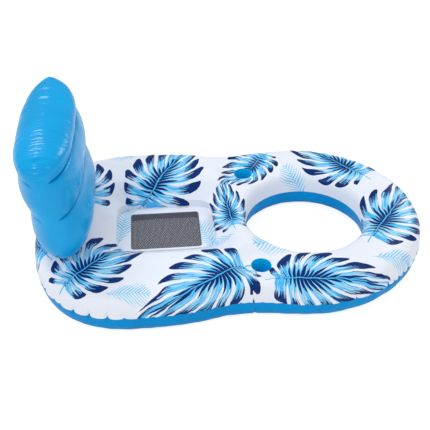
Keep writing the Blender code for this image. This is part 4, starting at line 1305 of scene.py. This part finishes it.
def build_back_film(name, side, material):
    """One film of the backrest, with its weld grooves, ripples and end creases."""
    steps = (1.0 - np.cos(math.pi * np.arange(BACK_ROWS) / BACK_ROWS)) / 2.0
    heights = [low + (high - low) * step for low, high in zip(BACK_LEVELS, BACK_LEVELS[1:])
               for step in steps] + [BACK_HEIGHT]
    across = -np.cos(math.pi * np.arange(BACK_COLUMNS + 1) / BACK_COLUMNS)
    points = np.vstack([back_row(side, across, height) for height in heights])
    quads = grid_faces(np.arange(len(points)).reshape(len(heights), -1))
    if side < 0.0:
        quads = quads[:, ::-1]
    normals = point_normals(points, quads)
    end_share = np.abs(np.tile(across, len(heights)))
    groove = BACK_GROOVE_DEPTH[int(side < 0.0)] * smooth_share(
        (BACK_GROOVE_END_SHARE - end_share) / BACK_GROOVE_FADE_SHARE)
    held = smooth_share(np.abs(points[:, 0]) / (BACK_HELD_SHARE * BACK_THICKNESS / 2.0))
    relief = ripple(points, *BACK_RIPPLE) * held
    for level in BACK_LEVELS[1:3]:
        relief -= groove * np.exp(-np.abs(points[:, 2] - level) / BACK_GROOVE_WIDTH)
    relief -= crease_depth(points) + droop_depth(points)
    relief -= fold_depth(points[:, 1:], back_top_folds())
    points = leaned(points + normals * relief[:, None])
    points = sink_under_valve(points, normals @ BACK_TURN.T, "backrest_valve_flange")
    quads = open_for_valve(points, quads, "backrest_valve_flange")
    return add_mesh(name, points, quads, material)


def build_back_beam(name, level, material):
    """A film strip that ties the bottoms of the front and rear grooves together."""
    across = -np.cos(math.pi * np.arange(1, BACK_COLUMNS) / BACK_COLUMNS)
    across = across[np.abs(across) < BACK_BEAM_SHARE]
    points = np.vstack([back_row(side, across, level, groove + BACK_BEAM_INSET)
                        for side, groove in zip((1.0, -1.0), BACK_GROOVE_DEPTH)])
    quads = grid_faces(np.arange(len(points)).reshape(2, -1))
    return add_mesh(name, leaned(points), quads, material)


def dress_base(films, looks):
    """Make the two films of the base, its seat floor, net and cup wells."""
    points, quads = cut_cup_holes(films.top, films.plan.quads)
    quads = open_for_valve(points, quads, "rear_valve_flange")
    top = add_mesh("base_top_film", points, quads, looks["print"])
    print_motifs(top, flat_chart(films.plan, films.smooth), MOTIFS, looks)
    stand_for(top, "base", "white_film", "base_top_sheet")
    quads = open_for_valve(films.bottom, films.plan.quads, "front_valve_flange")[:, ::-1]
    bottom = add_mesh("base_bottom_film", films.bottom, quads, looks["deep_blue"])
    stand_for(bottom, "base", "deep_blue_film", "base_bottom_sheet")
    floor = build_seat_floor(looks["print"])
    level_chart = np.array([vertex.co[:2] for vertex in floor.data.vertices])
    print_motifs(floor, level_chart, FLOOR_MOTIFS, looks)
    stand_for(floor, "base", "white_film", "seat_floor_sheet")
    net = build_net(looks["net"])
    stand_for(net, "base", "grey_mesh", "seat_mesh")
    for side_name, side in (("left", 1.0), ("right", -1.0)):
        cup = build_cup("cup_film_painted_light_" + side_name, cup_centre(side), looks["cup"])
        stand_for(cup, "base", "deep_blue_film", "cup_well_" + side_name)


def dress_backrest(looks):
    """Make the two films of the backrest and the strips that tie them together."""
    for name, side in (("front", 1.0), ("rear", -1.0)):
        film = build_back_film("backrest_%s_film" % name, side, looks["back"])
        stand_for(film, "backrest", "blue_film", "backrest_%s_sheet" % name)
    for name, level in zip(("lower", "upper"), BACK_LEVELS[1:3]):
        beam = build_back_beam("backrest_%s_beam_film" % name, level, looks["clear"])
        stand_for(beam, "backrest", "clear_film", "backrest_beam_" + name)


def dress_nodes(looks):
    """Give the solids that stay in view their materials."""
    for node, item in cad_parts.items():
        for key in NODE_LOOKS:
            if key in node:
                for slot in item.material_slots:
                    slot.material = looks[NODE_LOOKS[key]]
                break


def mix_shaders(tree, share, first, second):
    """One shader or the other, by a share."""
    node = tree.nodes.new('ShaderNodeMixShader')
    feed(tree, *zip((share, first, second), node.inputs))
    return node.outputs[0]


def build_stage():
    """A plain pale floor, seen by the camera as white with a soft shadow."""
    material, tree, shader, place = new_material("floor_paper", FLOOR_ROUGHNESS, specular=0.0)
    grain = noise(tree, place, FLOOR_GRAIN_SCALE)
    feed(tree, (blend_colour(tree, grain, FLOOR_WHITE, FLOOR_LIGHT), shader.inputs['Base Color']))
    path = tree.nodes.new('ShaderNodeLightPath').outputs
    seen = Field(tree, path['Is Camera Ray']).most(Field(tree, path['Is Transmission Ray']))
    white = tree.nodes.new('ShaderNodeEmission')
    shaded = tree.nodes.new('ShaderNodeBsdfDiffuse')
    both = tree.nodes.new('ShaderNodeAddShader')
    feed(tree, (FLOOR_GLOW, white.inputs['Strength']), (FLOOR_SHADE, shaded.inputs['Color']),
         (white.outputs[0], both.inputs[0]), (shaded.outputs[0], both.inputs[1]))
    mixed = mix_shaders(tree, seen, shader.outputs[0], both.outputs[0])
    tree.links.new(mixed, tree.nodes['Material Output'].inputs['Surface'])
    corners = [(x * FLOOR_SIZE, y * FLOOR_SIZE, FLOOR_LEVEL)
               for x, y in ((-1, -1), (1, -1), (1, 1), (-1, 1))]
    floor = add_mesh("studio_floor", corners, [(0, 1, 2, 3)], material)


def build_world():
    """Even pale light, dimmer in reflections, and plain white behind the object."""
    world = bpy.data.worlds.new("studio")
    bpy.context.scene.world = world
    world.use_nodes = True
    tree = world.node_tree
    tree.nodes.remove(tree.nodes['Background'])
    lights = []
    for strength in (WORLD_STRENGTH, WORLD_MIRROR_STRENGTH, 1.0):
        light = tree.nodes.new('ShaderNodeBackground')
        feed(tree, ((1.0, 1.0, 1.0, 1.0), light.inputs['Color']),
             (strength, light.inputs['Strength']))
        lights.append(light.outputs[0])
    path = tree.nodes.new('ShaderNodeLightPath').outputs
    lit = mix_shaders(tree, path['Is Glossy Ray'], lights[0], lights[1])
    seen = mix_shaders(tree, path['Is Camera Ray'], lit, lights[2])
    tree.links.new(seen, tree.nodes['World Output'].inputs['Surface'])


def add_lamp(name, place, target, size, power):
    """A soft rectangular lamp that faces a target."""
    lamp = bpy.data.lights.new(name, 'AREA')
    lamp.shape = 'RECTANGLE'
    lamp.size, lamp.size_y = size
    lamp.energy = power
    item = bpy.data.objects.new(name, lamp)
    item.location = place
    item.rotation_euler = (Vector(target) - Vector(place)).to_track_quat('-Z', 'Y').to_euler()
    bpy.context.scene.collection.objects.link(item)


def build_camera():
    """The camera of the photograph's viewing angle."""
    lens = bpy.data.cameras.new("camera")
    lens.sensor_width = SENSOR_MM
    lens.lens = FOCAL_PIXELS / FRAME_PIXELS * SENSOR_MM
    lens.shift_x = -CENTRE_SHIFT_PIXELS[0] / FRAME_PIXELS
    lens.shift_y = CENTRE_SHIFT_PIXELS[1] / FRAME_PIXELS
    camera = bpy.data.objects.new("camera", lens)
    camera.matrix_world = (Matrix.Translation(CAMERA_PLACE) @ Matrix.Rotation(AZIMUTH, 4, 'Z')
                           @ Matrix.Rotation(math.pi / 2.0 - ELEVATION, 4, 'X')
                           @ Matrix.Rotation(ROLL, 4, 'Z'))
    bpy.context.scene.collection.objects.link(camera)
    bpy.context.scene.camera = camera


def build_looks():
    """Every material, by the name that the pieces ask for."""
    net, tree, shader, place = new_material("net_thread", NET_ROUGHNESS)
    grain = noise(tree, place, NET_GRAIN_SCALE)
    feed(tree, (blend_colour(tree, grain, NET_GREY, NET_LIGHT), shader.inputs['Base Color']))
    looks = {
        "leaf": print_material("leaf_print_film", draw_leaf),
        "frond": print_material("frond_print_film", draw_frond),
        "net": net,
    }
    for look, film in PLAIN_FILMS.items():
        looks[look] = film_material(*film)
    return looks


def build_scene():
    """Make every piece, the floor, the light and the camera."""
    looks = build_looks()
    dress_base(BaseFilms(), looks)
    dress_backrest(looks)
    dress_nodes(looks)
    build_stage()
    build_world()
    for lamp in LAMPS:
        add_lamp(*lamp)
    build_camera()
    bpy.context.scene.view_settings.view_transform = 'Standard'


build_scene()
